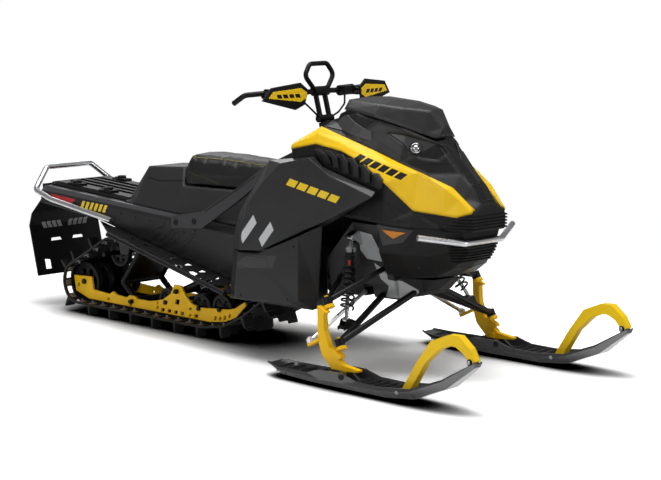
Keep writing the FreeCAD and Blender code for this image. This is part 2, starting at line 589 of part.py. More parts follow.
def facets(rings):
    """A closed body of flat facets through rings of the same number of points."""
    rings = [[V(*p) for p in ring] for ring in rings]
    faces = []
    for ring in (rings[0], rings[-1]):
        face = Part.Face(Part.makePolygon(ring + ring[:1])) if planar(ring) else None
        faces += [face] if face else fan(ring)
    for near, far in zip(rings, rings[1:]):
        for i in range(len(near)):
            j = (i + 1) % len(near)
            faces += quad(near[i], near[j], far[j], far[i])
    return solid_of(faces)


def planar(ring):
    n = V(0, 0, 0)
    for i in range(1, len(ring) - 1):
        n = n + (ring[i] - ring[0]).cross(ring[i + 1] - ring[0])
    n.normalize()
    return all(abs((p - ring[0]).dot(n)) < FLAT for p in ring)


def fan(ring):
    """Triangles from the middle of a ring that is not flat."""
    mid = V(0, 0, 0)
    for p in ring:
        mid = mid + p
    mid = mid * (1.0 / len(ring))
    return [Part.Face(Part.makePolygon([mid, ring[i - 1], ring[i], mid])) for i in range(len(ring))]


def inset(points, wall):
    """A closed 2-D outline moved inwards by wall, with mitred corners."""
    area = sum(a[0] * b[1] - b[0] * a[1] for a, b in zip(points, points[1:] + points[:1]))
    turn = 1.0 if area > 0 else -1.0
    out = []
    for i, p in enumerate(points):
        a = points[i - 1]
        b = points[(i + 1) % len(points)]
        d1 = (p[0] - a[0], p[1] - a[1])
        d2 = (b[0] - p[0], b[1] - p[1])
        l1 = hypot(*d1)
        l2 = hypot(*d2)
        n1 = (-d1[1] / l1 * turn, d1[0] / l1 * turn)
        n2 = (-d2[1] / l2 * turn, d2[0] / l2 * turn)
        k = 1.0 + n1[0] * n2[0] + n1[1] * n2[1]
        k = max(k, MITRE)
        out.append((p[0] + wall * (n1[0] + n2[0]) / k, p[1] + wall * (n1[1] + n2[1]) / k))
    return out


def whole(half):
    """A half outline from top middle to bottom middle, closed with its mirror image."""
    back = [(-y, z) for y, z in reversed(half) if y > 0]
    return list(half) + back


def body(sections, wall, front_wall, rear_wall, open_below=0.0, open_above=0.0):
    """A hollow body through sections (x, half outline of (y, z)), walls `wall` thick.

    open_below and open_above stretch the hollow past the lowest or highest wall.
    """
    outer = [[(x, y, z) for y, z in whole(half)] for x, half in sections]
    inner = []
    last = len(sections) - 1
    for i, (x, half) in enumerate(sections):
        ring = inset(whole(half), wall)
        zs = [z for _, z in ring]
        low = min(zs)
        high = max(zs)
        ring = [(y, z - open_below if z < low + 0.5 else z) for y, z in ring]
        ring = [(y, z + open_above if z > high - 0.5 else z) for y, z in ring]
        dx = rear_wall if i == 0 else -front_wall if i == last else 0.0
        inner.append([(x + dx, y, z) for y, z in ring])
    return facets(outer).cut(facets(inner))


def tube(points, r, bend, hole=0.0):
    """A round tube along a route of straight runs joined by arcs of radius `bend`."""
    pts = [V(*p) for p in points]
    edges = []
    start = pts[0]
    for i in range(1, len(pts) - 1):
        a = (pts[i - 1] - pts[i]).normalize()
        b = (pts[i + 1] - pts[i]).normalize()
        half = a.getAngle(b) / 2.0
        back = bend / tan(half)
        room = BEND_SHARE * min((pts[i - 1] - pts[i]).Length, (pts[i + 1] - pts[i]).Length)
        back = min(back, room)
        radius = back * tan(half)
        p = pts[i] + a * back
        q = pts[i] + b * back
        mid_dir = (a + b).normalize()
        centre = pts[i] + mid_dir * (radius / sin(half))
        m = centre - mid_dir * radius
        edges.append(Part.makeLine(start, p))
        edges.append(Part.Arc(p, m, q).toShape())
        start = q
    edges.append(Part.makeLine(start, pts[-1]))
    path = Part.Wire(edges)
    first = (pts[1] - pts[0]).normalize()

    def sweep(radius):
        ring = Part.Wire(Part.makeCircle(radius, pts[0], first))
        return path.makePipeShell([ring], True, False)

    shape = sweep(r)
    if hole:
        shape = shape.cut(sweep(hole))
    return shape


def block(sections, grow):
    """The outer form of a body through sections, as one solid moved outwards by `grow`."""
    rings = []
    for i, (x, half) in enumerate(sections):
        shift = -grow if i == 0 else grow if i == len(sections) - 1 else 0.0
        rings.append([(x + shift, y, z) for y, z in inset(whole(half), -grow)])
    return facets(rings)


def on_skin(sections, near, far, tool):
    """The layer between two offsets of a body's skin, kept where it lies inside `tool`."""
    return block(sections, far).cut(block(sections, near)).common(tool)


def spring(p, q, start, stop, coil_r, wire_r, turns):
    """A coil spring about the line from p to q, between two shares of its length."""
    a = V(*p)
    run = V(*q) - a
    height = run.Length * (stop - start)
    helix = Part.makeHelix(height / turns, height, coil_r)
    ring = Part.Wire(Part.makeCircle(wire_r, V(coil_r, 0, 0), V(0, 1, 0)))
    coil = Part.Wire(helix).makePipeShell([ring], True, True)
    coil.Placement = FreeCAD.Placement(a + run * start, FreeCAD.Rotation(V(0, 0, 1), run))
    return coil


def mirrored(shape):
    return shape.mirror(V(0, 0, 0), V(0, 1, 0))


def flip(point):
    return (point[0], -point[1], point[2])


def fused(shapes):
    shape = shapes[0]
    if len(shapes) > 1:
        shape = shape.multiFuse(shapes[1:])
    return shape.removeSplitter()


def save(name, *shapes):
    """Write one sub-part; several shapes are solids that don't touch."""
    solids = [s for shape in shapes for s in shape.Solids]
    shape = solids[0] if len(solids) == 1 else Part.makeCompound(solids)
    if not shape.isValid():
        print("not valid:", name)
    shape.exportStep(os.path.join("parts", name + ".step"))
    made[name] = shape


def pair(name, shape):
    """One sub-part with a piece on each side."""
    save(name, shape, mirrored(shape))


def each_side(name, shape):
    """Two sub-parts, the left one and its mirror image on the right."""
    save(name + "_left", shape)
    save(name + "_right", mirrored(shape))


# ---------------------------------------------------------------- track
def belt_line():
    """The belt's middle line round its four wheels, arcs cut into flats of BELT_TURN degrees."""
    ease = BELT_EASE + BELT / 2.0
    circles = ((REAR_AXLE_X, REAR_AXLE_Z, REAR_WHEEL_R + ease),
               (FRONT_BEND_X, REAR_AXLE_Z + FRONT_BEND_R - REAR_WHEEL_R, FRONT_BEND_R + ease),
               (DRIVE_X, DRIVE_Z, DRIVE_R + ease),
               (TOP_IDLER_X, TOP_IDLER_Z, TOP_IDLER_R + ease))
    line = []
    for i, (x, z, r) in enumerate(circles):
        start = tangent_angle(circles[i - 1], circles[i])
        stop = tangent_angle(circles[i], circles[(i + 1) % 4])
        while stop < start:
            stop += 2.0 * pi
        steps = max(1, int(degrees(stop - start) / BELT_TURN))
        for k in range(steps + 1):
            angle = start + (stop - start) * k / steps
            line.append((x + r * cos(angle), z + r * sin(angle)))
    return line


def tangent_angle(a, b):
    """Direction from either centre to where the outer tangent from circle a to b touches."""
    d = hypot(b[0] - a[0], b[1] - a[1])
    lean = (a[2] - b[2]) / d
    return atan2(b[1] - a[1], b[0] - a[0]) - pi / 2.0 + atan2(lean, sqrt(1.0 - lean * lean))


def stations(line, count, start):
    """Evenly spaced points of a closed line, each with the line's direction there.

    The first is `start` pitches along, 0 to 1.
    """
    closed = line + line[:1]
    runs = [hypot(b[0] - a[0], b[1] - a[1]) for a, b in zip(closed, closed[1:])]
    pitch = sum(runs) / count
    out = []
    i = 0
    passed = 0.0
    for k in range(count):
        want = pitch * (k + start)
        while passed + runs[i] < want:
            passed += runs[i]
            i += 1
        a = closed[i]
        b = closed[i + 1]
        t = (want - passed) / runs[i]
        ux = (b[0] - a[0]) / runs[i]
        uz = (b[1] - a[1]) / runs[i]
        out.append((a[0] + (b[0] - a[0]) * t, a[1] + (b[1] - a[1]) * t, ux, uz))
    return out


def track():
    line = belt_line()
    half = TRACK_WIDTH / 2.0
    outer = inset(line, -BELT / 2.0)
    inner = inset(line, BELT / 2.0)
    belt = prism_y(outer, -half, half).cut(prism_y(inner, -half - CUT, half + CUT))
    long, y0, y1 = BELT_WINDOW
    windows = []
    for x, z, ux, uz in stations(line, LUG_ROWS, WINDOW_START):
        corners = ((-long, -BELT), (long, -BELT), (long, BELT), (-long, BELT))
        window = prism_y([(x + ux * p + uz * q, z + uz * p - ux * q) for p, q in corners], y0, y1)
        windows += [window, mirrored(window)]
    pieces = [belt.cut(Part.makeCompound(windows))]
    for k, (x, z, ux, uz) in enumerate(stations(line, LUG_ROWS, LUG_START)):
        corners = ((-LUG_FOOT, 0.0), (LUG_FOOT, 0.0), (LUG_TIP, BELT / 2.0 + LUG_HEIGHT),
                   (-LUG_TIP, BELT / 2.0 + LUG_HEIGHT))
        outline = [(x + ux * p + uz * q, z + uz * p - ux * q) for p, q in corners]
        for y0, y1 in LUG_BLOCKS[k % 2::2]:
            pieces.append(prism_y(outline, y0, y1))
    save("track", fused(pieces))


# ---------------------------------------------------------------- skid frame


def skid_frame():
    y0 = RAIL_Y - RAIL_THICK / 2.0
    y1 = RAIL_Y + RAIL_THICK / 2.0
    rail = prism_y(RAIL_OUTLINE, y0, y1)
    for x, z, long, high in RAIL_HOLES:
        slant = high * HOLE_SLANT
        outline = ((x - long, z - high), (x + long - slant, z - high), (x + long, z + high),
                   (x - long + slant, z + high))
        rail = rail.cut(prism_y(outline, y0 - CUT, y1 + CUT))
    centres = [(REAR_AXLE_X, REAR_AXLE_Z, AXLE_R), FRONT_ARM_LOW + (SHAFT_R,),
               REAR_ARM_LOW + (SHAFT_R,)]
    centres += [(x, z, SHAFT_R) for x, z in small_wheel_centres()]
    for x, z, r in centres:
        rail = rail.cut(rod((x, y0 - CUT, z), (x, y1 + CUT, z), r + TOUCH))
    pair("slide_rail", rail)
    pair("slide_strip", box(STRIP_REAR, STRIP_FRONT, RAIL_Y - STRIP_WIDTH / 2.0, RAIL_Y + STRIP_WIDTH / 2.0,
                            LOW_FLOOR, RAIL_BASE - TOUCH))


def wheel(x, z, r, y, bore):
    """A wheel with a rubber rim's step, a dished web with holes and a hub."""
    half = WHEEL_WIDTH / 2.0
    disc = rod((x, y - half, z), (x, y + half, z), r)
    dish = rod((x, y + WHEEL_WEB, z), (x, y + half + CUT, z), r - WHEEL_RIM)
    dish = dish.cut(rod((x, y, z), (x, y + WHEEL_WIDTH, z), bore + WHEEL_HUB))
    disc = disc.cut(dish).cut(mirrored_at(dish, y))
    web = r - WHEEL_RIM - bore - WHEEL_HUB
    ring = bore + WHEEL_HUB + web / 2.0
    hole_r = web * WHEEL_HOLE
    for k in range(WHEEL_HOLES):
        turn = 2.0 * pi * k / WHEEL_HOLES
        at = (x + ring * cos(turn), z + ring * sin(turn))
        disc = disc.cut(rod((at[0], y - half, at[1]), (at[0], y + half, at[1]), hole_r))
    return disc.cut(rod((x, y - WHEEL_WIDTH, z), (x, y + WHEEL_WIDTH, z), bore + TOUCH))


def mirrored_at(shape, y):
    return shape.mirror(V(0, y, 0), V(0, 1, 0))


def small_wheel_centres():
    return [(x, LOW_FLOOR + SMALL_WHEEL_R + lift) for x, lift in zip(SMALL_WHEEL_X, SMALL_WHEEL_LIFT)]


def wheels():
    """All wheels run inside the rails; their shafts end in nuts outside them."""
    outer = RAIL_Y - RAIL_THICK / 2.0 - WHEEL_GAP - WHEEL_WIDTH / 2.0
    end = RAIL_Y + RAIL_THICK / 2.0 + AXLE_NUT
    shafts = [rod((REAR_AXLE_X, -end, REAR_AXLE_Z), (REAR_AXLE_X, end, REAR_AXLE_Z), AXLE_R)]
    half = [wheel(REAR_AXLE_X, REAR_AXLE_Z, REAR_WHEEL_R, y, AXLE_R) for y in (outer, INNER_WHEEL_Y)]
    for x, z in small_wheel_centres():
        half.append(wheel(x, z, SMALL_WHEEL_R, outer, SHAFT_R))
        shafts.append(rod((x, -end, z), (x, end, z), SHAFT_R))
    half.append(wheel(TOP_IDLER_X, TOP_IDLER_Z, TOP_IDLER_R, outer, SHAFT_R))
    reach = TUNNEL_HALF - WALL - TOUCH
    shafts.append(rod((TOP_IDLER_X, -reach, TOP_IDLER_Z), (TOP_IDLER_X, reach, TOP_IDLER_Z), SHAFT_R))
    save("track_wheels", *(half + [mirrored(w) for w in half]))
    save("wheel_shafts", *shafts)


def skid_arms():
    """Front and rear arms: side tubes from the rails' pivots to the tunnel's pivots."""
    inner = RAIL_Y - RAIL_THICK / 2.0 - TOUCH
    wall_in = TUNNEL_HALF - WALL - TOUCH
    y = inner - ARM_TUBE_R - ARM_IN
    arms = []
    for chain in ((FRONT_ARM_LOW, FRONT_ARM_TOP), (REAR_ARM_LOW, REAR_ARM_KNEE, REAR_ARM_TOP)):
        low = chain[0]
        top = chain[-1]
        bolt = inner + PIVOT_BOLT
        pieces = [rod((low[0], -inner, low[1]), (low[0], inner, low[1]), PIVOT_TUBE_R),
                  rod((top[0], -wall_in, top[1]), (top[0], wall_in, top[1]), PIVOT_TUBE_R),
                  rod((low[0], -bolt, low[1]), (low[0], bolt, low[1]), SHAFT_R)]
        for a, b in zip(chain, chain[1:]):
            for side in (-1.0, 1.0):
                pieces.append(rod((a[0], side * y, a[1]), (b[0], side * y, b[1]), ARM_TUBE_R))
        mid_x = (low[0] + top[0]) / 2.0
        mid_z = (low[1] + top[1]) / 2.0
        if len(chain) == 2:
            pieces.append(rod((mid_x, -y, mid_z), (mid_x, y, mid_z), CROSS_TUBE_R))
        else:
            pieces.append(rod((chain[1][0], -y, chain[1][1]), (chain[1][0], y, chain[1][1]), ARM_TUBE_R))
            pieces.append(arm_plate(chain[1], top, y))
        arms.append(fused(pieces))
    save("track_arms", *arms)


def arm_plate(low, pivot, half):
    """A flat plate between an arm's side tubes, ending short of the pivot's damper eye."""
    run = hypot(pivot[0] - low[0], pivot[1] - low[1])
    share = 1.0 - PLATE_SHORT / run
    top = (low[0] + (pivot[0] - low[0]) * share, low[1] + (pivot[1] - low[1]) * share)
    nx = (low[1] - pivot[1]) / run * ARM_PLATE
    nz = (pivot[0] - low[0]) / run * ARM_PLATE
    outline = ((low[0] - nx, low[1] - nz), (top[0] - nx, top[1] - nz), (top[0] + nx, top[1] + nz),
               (low[0] + nx, low[1] + nz))
    return prism_y(outline, -half, half)


def damper(p, q, r, rod_r, eye_r, eye_w, split, side, holes):
    """A shock absorber from p (top) to q (foot): cylinder, rod and an eye at each end.

    The eyes lie along `side`, and holes are the radii of the shafts they turn on.
    """
    a = V(*p)
    b = V(*q)
    run = b - a
    u = V(run).normalize()
    side = V(*side)
    neck = eye_r * NECK_SHARE
    start = eye_r * ROD_SHARE
    pieces = [Part.makeCylinder(r, run.Length * split - neck, a + u * neck, u),
              Part.makeCylinder(rod_r, run.Length - 2.0 * start, a + u * start, u)]
    for c, hole in zip((a, b), holes):
        pieces.append(centred(c, side, hole + eye_r * EYE_SHARE, eye_w))
    shape = fused(pieces)
    for c, hole in zip((a, b), holes):
        if hole:
            shape = shape.cut(centred(c, side, hole + TOUCH, REACH))
    return shape


def track_shocks():
    sizes = (TRACK_SHOCK_R, TRACK_SHOCK_ROD_R, TRACK_SHOCK_EYE, TRACK_SHOCK_EYE_W)
    ends = (
        (FRONT_ARM_TOP, small_wheel_centres()[1], FRONT_SPLIT, (PIVOT_TUBE_R, SHAFT_R)),
        (REAR_ARM_TOP, FRONT_ARM_LOW, REAR_SPLIT, (PIVOT_TUBE_R, PIVOT_TUBE_R)),
    )
    shocks = [damper((top[0], 0.0, top[1]), (foot[0], 0.0, foot[1]), *sizes, split, (0, 1, 0), holes)
              for top, foot, split, holes in ends]
    save("track_shocks", *shocks)


def drive_axle():
    reach = TUNNEL_HALF - WALL - TOUCH
    drums = [rod((DRIVE_X, y - DRUM_HALF, DRIVE_Z), (DRIVE_X, y + DRUM_HALF, DRIVE_Z), DRIVE_R)
             for y in (-DRUM_Y, DRUM_Y)]
    shaft = rod((DRIVE_X, -reach, DRIVE_Z), (DRIVE_X, reach, DRIVE_Z), DRIVE_SHAFT_R)
    save("drive_axle", fused([shaft] + drums))


# ---------------------------------------------------------------- tunnel and boards
def tunnel():
    rings = []
    for x, top, low in TUNNEL_SECTIONS:
        outer = [(TUNNEL_HALF, low), (TUNNEL_HALF, top - BEVEL_DROP), (TUNNEL_TOP_HALF, top)]
        inner = [(TUNNEL_HALF - WALL, low), (TUNNEL_HALF - WALL, top - BEVEL_DROP - BEVEL_WALL[1]),
                 (TUNNEL_TOP_HALF - BEVEL_WALL[0], top - WALL)]
        ring = outer + [(-y, z) for y, z in reversed(outer)] + [(-y, z) for y, z in inner]
        ring += list(reversed(inner))
        rings.append([(x, y, z) for y, z in ring])
    slashes = []
    for top, foot in SLASHES:
        outline = (top, (top[0] + SLASH_WIDE, top[1]), (foot[0] + SLASH_WIDE, foot[1]), foot)
        slashes.append(prism_y(outline, TUNNEL_HALF - CUT, TUNNEL_HALF + SLASH_OUT))
    x, z = REAR_ARM_TOP
    hanger = prism_y([(x + dx, z + dz) for dx, dz in HANGER], TUNNEL_HALF - WALL, TUNNEL_HALF)
    sides = slashes + [hanger]
    save("tunnel", fused([facets(rings)] + sides + [mirrored(s) for s in sides]))


def tunnel_block(grow):
    """The tunnel's outer form as one solid with its top moved up by `grow`."""
    rings = []
    for x, top, low in TUNNEL_SECTIONS:
        half = ((TUNNEL_HALF, low), (TUNNEL_HALF, top - BEVEL_DROP + grow), (TUNNEL_TOP_HALF, top + grow))
        rings.append([(x, y, z) for y, z in half] + [(x, -y, z) for y, z in reversed(half)])
    return facets(rings)


def boards():
    run = BOARD_FRONT - BOARD_REAR
    slope = atan2(BOARD_REAR_Z - BOARD_FRONT_Z, run)
    length = hypot(run, BOARD_REAR_Z - BOARD_FRONT_Z)
    y0 = TUNNEL_HALF + TOUCH
    edge0 = BOARD_EDGE_REAR - BOARD_TUBE_R + TUBE_LAP
    edge1 = BOARD_EDGE_FRONT - BOARD_TUBE_R + TUBE_LAP
    plate = prism_z(((-BOARD_TAIL, y0), (length, y0), (length, edge1), (0.0, edge0)), 0.0, BOARD_THICK)
    edge_tube = rod((-BOARD_TUBE_END, edge0 + TUBE_LAP, BOARD_TUBE_RISE),
                    (length, edge1 + TUBE_LAP, BOARD_TUBE_RISE), BOARD_TUBE_R)
    pitch = (length - BAY_START - BAY_END) / BAYS
    holes = []
    for i in range(BAYS):
        start = BAY_START + pitch * i
        stop = start + pitch
        edge = edge0 + (edge1 - edge0) * (start / length)
        a, b, c, d, outer, inner = BAY_OUTER
        holes.append(((start + a, edge - outer), (stop - b, edge - outer), (stop - c, y0 + inner),
                      (start + d, y0 + inner)))
        a, b, c, d, outer, inner = BAY_INNER
        holes.append(((start + a, y0 + outer), (stop - b, y0 + outer), (stop - c, y0 + inner),
                      (start + d, y0 + inner)))
    plate = plate.cut(Part.makeCompound([prism_z(hole, -CUT, BOARD_THICK + CUT) for hole in holes]))
    thick, high = BOARD_LIP
    board = fused([plate, edge_tube, box(0.0, length, y0, y0 + thick, 0.0, high)])
    board.rotate(V(0, 0, 0), V(0, 1, 0), degrees(slope))
    board.translate(V(BOARD_REAR, 0, BOARD_REAR_Z))
    foot = box(BOARD_FRONT - BOARD_LAP, BOARD_FRONT + BOARD_FOOT, y0, FOOT_EDGE, BOARD_FRONT_Z - FOOT_SINK,
               BOARD_FRONT_Z - FOOT_SINK + BOARD_THICK)
    pair("running_boards", fused([board, foot]))


# ---------------------------------------------------------------- bodywork


def seam_z(x):
    return SEAM[1] + SEAM[2] * (x - SEAM[0])


def hood_half(row):
    x, top, shoulder, upper, crest, lower, seam = row
    return [(0.0, top), shoulder, upper, crest, lower, (seam, seam_z(x)), (0.0, seam_z(x))]


def hood_sections():
    return [(row[0], hood_half(row)) for row in HOOD]


def vent_outline(top, foot):
    """A louvre from top to foot, its middle pushed forward."""
    mid = ((top[0] + foot[0]) / 2.0 + VENT_BULGE, (top[1] + foot[1]) / 2.0 + VENT_BULGE * 0.5)
    front = [(x + VENT_THICK, z) for x, z in (foot, mid, top)]
    return [top, mid, foot] + front


def grille(sections, outline, low, pitch, count):
    """Level slats on a body's skin with a thin plate behind them."""
    tool = prism_y(outline, -REACH, REACH)
    pieces = [on_skin(sections, TOUCH, GRILLE_BACK, tool)]
    slats = on_skin(sections, TOUCH, SLAT_OUT, tool)
    x = outline[0][0]
    for i in range(count):
        z = low + pitch * i
        pieces.append(slats.common(box(x - REACH, x + REACH, -REACH, REACH, z, z + SLAT)))
    return fused(pieces)


def hood():
    sections = hood_sections()
    shell = body(sections, HOOD_WALL, HOOD_WALL, HOOD_WALL, open_below=OPEN)
    lamp_hole = prism_y(LAMP, LAMP_RIDGE, REACH)
    save("hood", shell.cut(lamp_hole).cut(mirrored(lamp_hole)))
    lamp_room = prism_y(inset(LAMP, TOUCH), LAMP_RIDGE + TOUCH, REACH)
    front = LAMP_LIP - HOOD_WALL
    x, y, z, r = LAMP_LENS
    aim = V(*LAMP_AIM).normalize()
    hole = centred(V(x, y, z), aim, r + TOUCH, LAMP_RANGE)
    bulb = centred(V(x, y, z), aim, r, LAMP_RANGE)
    pair("headlights", on_skin(sections, front - LAMP_THICK, front, lamp_room).cut(hole))
    pair("headlight_lenses", on_skin(sections, front - LAMP_THICK, -LENS_SINK, bulb).common(lamp_room))
    fins = [on_skin(sections, TOUCH, VENT_DEEP, prism_y(vent_outline(top, foot), 0.0, REACH))
            for top, foot in VENTS]
    ground = on_skin(sections, TOUCH, GROUND_THICK, prism_y(VENT_GROUND, 0.0, REACH))
    window = on_skin(sections, TOUCH, INLAY_THICK, prism_y(WINDOW, WINDOW_Y, REACH))
    badge = on_skin(sections, TOUCH, INLAY_THICK, prism_z(NOSE_V, *NOSE_RANGE))
    plate = on_skin(sections, TOUCH, INLAY_THICK, prism_z(NOSE_PLATE, *NOSE_RANGE))
    save("nose_panels", badge, plate)
    rings = []
    for row in HOOD:
        x = row[0]
        upper, crest, lower = row[3:6]
        out = [(y + PANEL_THICK * PANEL_LEAN[0], z + PANEL_THICK * PANEL_LEAN[1])
               for y, z in (lower, crest, upper)]
        rings.append([(x, y, z) for y, z in (upper, crest, lower)] + [(x, y, z) for y, z in out])
    panel = facets(rings)
    pair("hood_panels", panel)
    pair("side_vents", fused(fins + [ground]).cut(panel))
    return grille(sections, NOSE_GRILLE, *NOSE_SLATS), window


def belly_pan(nose_grille, window):
    sections = [(x, [(0.0, seam_z(x) - TOUCH), (seam, seam_z(x) - TOUCH), knee, corner, (0.0, low)])
                for x, seam, knee, corner, low in BELLY]
    save("belly_pan", body(sections, HOOD_WALL, HOOD_WALL, HOOD_WALL, open_above=OPEN))
    bezel = on_skin(sections, TOUCH, BEZEL_THICK, prism_y(BEZEL, 0.0, REACH))
    save("grilles", nose_grille, grille(sections, BELLY_GRILLE, *BELLY_SLATS))
    save("body_insets", window, mirrored(window), bezel, mirrored(bezel))
    seat = BEZEL_THICK + TOUCH
    pair("front_reflectors", on_skin(sections, seat, seat + REFLECTOR_THICK, prism_y(REFLECTOR, 0.0, REACH)))


def visor():
    rings = []
    for x, edge, foot, top in VISOR:
        half = [(0.0, top), edge, foot, (0.0, foot[1] + VISOR_HOLLOW)]
        rings.append([(x, y, z) for y, z in whole(half)])
    below = facets([[(x, y, z + TOUCH) for y, z in whole(half)] for x, half in hood_sections()])
    save("visor", facets(rings).cut(below))


def tray(face, rim, wall):
    """A dished panel: an outer face and a rim that leads inwards, open on the inside."""
    outer = facets([face, rim])
    f2 = inset([(x, z) for x, _, z in face], wall)
    r2 = inset([(x, z) for x, _, z in rim], wall)
    fin = [(x, p[1] - wall, z) for (x, z), p in zip(f2, face)]
    rin = [(x, p[1] - CUT, z) for (x, z), p in zip(r2, rim)]
    return outer.cut(facets([fin, rin]))


def side_panels():
    pair("side_panels", tray(UPPER_FACE, UPPER_RIM, SIDE_WALL))
    pair("lower_side_panels", tray(LOWER_FACE, LOWER_RIM, SIDE_WALL))


# ---------------------------------------------------------------- engine bay


def bulkhead_outside(grow):
    """The bulkhead's outer form, and the keel's, as solid blocks moved outwards by `grow`."""
    tower = [(x, [(0.0, top[1]), top, mid, low, (0.0, low[1])]) for x, top, mid, low in BULKHEAD]
    keel = [(x, [(0.0, KEEL_TOP), (y1, KEEL_TOP), (y0, z0), (0.0, z0)]) for x, y1, y0, z0 in KEEL]
    blocks = []
    for rows in (tower, keel):
        rings = [[(x, y, z) for y, z in inset(whole(half), -grow)] for x, half in rows]
        blocks.append(facets(rings))
    return blocks


def engine_bay():
    x0, x1, z0, z1 = ENGINE
    top, mid = BULKHEAD[1][1:3]
    lean = (top[0] - mid[0]) / (top[1] - mid[1])
    half_width = mid[0] + lean * (z0 - mid[1]) - (BULKHEAD_WALL + TOUCH) * hypot(1.0, lean) - 2.0 * TOUCH
    save("engine", box(x0, x1, -half_width, half_width, z0, z1))
    rows = [(x, [(0.0, top[1]), top, mid, low, (0.0, low[1])]) for x, top, mid, low in BULKHEAD]
    shell = body(rows, BULKHEAD_WALL, BULKHEAD_WALL, -OPEN, open_above=BULKHEAD_OPEN)
    inside = facets([[(x, y, z) for y, z in inset(whole(half), BULKHEAD_WALL / 2.0)] for x, half in rows])
    ears = []
    for outline, x0, x1 in ear_pair(SHOCK_TOP, TOP_EAR, TOP_EAR_THICK):
        ear = prism_x(outline, x0, x1).cut(inside)
        ears += [ear, mirrored(ear)]
    keel_block = bulkhead_outside(0.0)[1]
    keel = keel_block.cut(box(0.0, KEEL[-1][0] + CUT, -REACH, REACH, KEEL_TOP - TOUCH, KEEL_TOP + CUT))
    low_edge = BULKHEAD[1][3][1]
    x, y, z = TIE_IN
    half, inner, rise = TIE_WINDOW
    window = box(x - half, x + half, inner, y + TIE_WINDOW_OUT, low_edge - OPEN, z + rise)
    save("bulkhead", fused([shell] + ears).cut(window).cut(mirrored(window)))
    rings = []
    for x, y1, z1, y0, z0 in SKID:
        rings.append([(x, y, z) for y, z in whole([(0.0, z1), (y1, z1), (y0, z0), (0.0, z0)])])
    save("keel", keel, facets(rings))


# ---------------------------------------------------------------- seat and rear


def seat():
    rings = []
    for x, y_top, z_top, y_mid, z_mid, y_low, z_low in SEAT:
        half = [(0.0, z_top + SEAT_CROWN), (y_top, z_top), (y_mid, z_mid), (y_low, z_low), (0.0, z_low)]
        rings.append([(x, y, z) for y, z in whole(half)])
    cushion = facets(rings)
    rings = []
    for x, y_top, z_top, y_low, z_low in TANK:
        half = [(0.0, z_top), (y_top, z_top), (y_low, z_low + TANK_SKIRT), (y_low, z_low), (0.0, z_low)]
        rings.append([(x, y, z) for y, z in whole(half)])
    tank = facets(rings).cut(tunnel_block(TOUCH)).cut(deck_block(TOUCH))
    save("tank", tank)
    save("seat", cushion.cut(tank))





def console_block(grow):
    rings = []
    for x, top, shoulder, side, foot in CONSOLE:
        half = [(0.0, top), shoulder, side, (foot, CONSOLE_FOOT), (0.0, CONSOLE_FOOT)]
        rings.append([(x, y, z) for y, z in inset(whole(half), -grow)])
    return facets(rings)


def console():
    shell = console_block(0.0)
    foot = V(*STEER_FOOT)
    lean = (V(*STEER_HEAD) - foot).normalize()
    low = foot - lean * POST_SEAT_DEEP
    seat_ring = Part.makeCylinder(POST_SEAT_R, POST_SEAT_DEEP - POST_FOOT_R - TOUCH, low, lean)
    hole = Part.makeCylinder(POST_PIN_R + PIN_GAP, POST_BORE_DEEP + OPEN, foot - lean * POST_BORE_DEEP, lean)
    save("console", fused([shell, seat_ring]).cut(hole))
    rings = []
    wide = GAUGE_HALF + GAUGE_SIDE[0]
    for x, top in GAUGE:
        half = [(0.0, top), (GAUGE_HALF, top - GAUGE_EDGE), (wide, top - GAUGE_SIDE[1]), (wide, GAUGE_FOOT),
                (0.0, GAUGE_FOOT)]
        rings.append([(x, y, z) for y, z in whole(half)])
    save("gauge", facets(rings).cut(block(hood_sections(), TOUCH)))


def deck_block(grow):
    rings = []
    for x, half, top in DECK:
        side = [(0.0, top + grow), (half - DECK_EDGE[0], top + grow), (half + grow, top - DECK_EDGE[1]),
                (half + grow, DECK_FOOT), (0.0, DECK_FOOT)]
        rings.append([(x, y, z) for y, z in whole(side)])
    return facets(rings)


def rear():
    left = [(x, TUNNEL_HALF + GRAB_R + TOUCH, z) for x, z in GRAB] + [GRAB_TOP]
    save("grab_bar", tube(left + [flip(p) for p in reversed(left)], GRAB_R, GRAB_BEND))
    deck = deck_block(0.0).cut(tunnel_block(TOUCH))
    for y0, y1 in DECK_GROOVES:
        deck = deck.cut(prism_y(DECK_GROOVE, y0, y1))
    for x, top in DECK_SOCKETS:
        for y in (-DECK_SOCKET_Y, DECK_SOCKET_Y):
            deck = deck.cut(rod((x, y, DECK_FOOT), (x, y, top), DECK_RELIEF_R))
    save("rear_deck", deck)
    flap = prism_y(FLAP_REAR + FLAP_FRONT, -FLAP_HALF, FLAP_HALF)
    for outline in FLAP_HOLES:
        hole = prism_x(outline, TUNNEL_REAR - REACH, TUNNEL_REAR)
        flap = flap.cut(hole).cut(mirrored(hole))
    save("snow_flap", flap)
    sockets = []
    for x, top in DECK_SOCKETS:
        for y in (-DECK_SOCKET_Y, DECK_SOCKET_Y):
            sockets.append(deck_socket(x, y, top))
    save("deck_sockets", *sockets)
    skin = TUNNEL_HALF + TOUCH
    side = prism_y(REAR_REFLECTOR, skin, skin + REAR_REFLECTOR_THICK)
    half, low, high = TAIL_LAMP
    back = TUNNEL_REAR - FLAP_TOP - TOUCH
    save("rear_reflectors", side, mirrored(side), box(back - TAIL_LAMP_THICK, back, -half, half, low, high))
    rings = [[(x, y0, z0), (x, y1, z0), (x, y1, z1), (x, y0, z1)] for x, y0, y1, z0, z1 in BRACE]
    pair("side_braces", facets(rings).cut(console_block(TOUCH)))


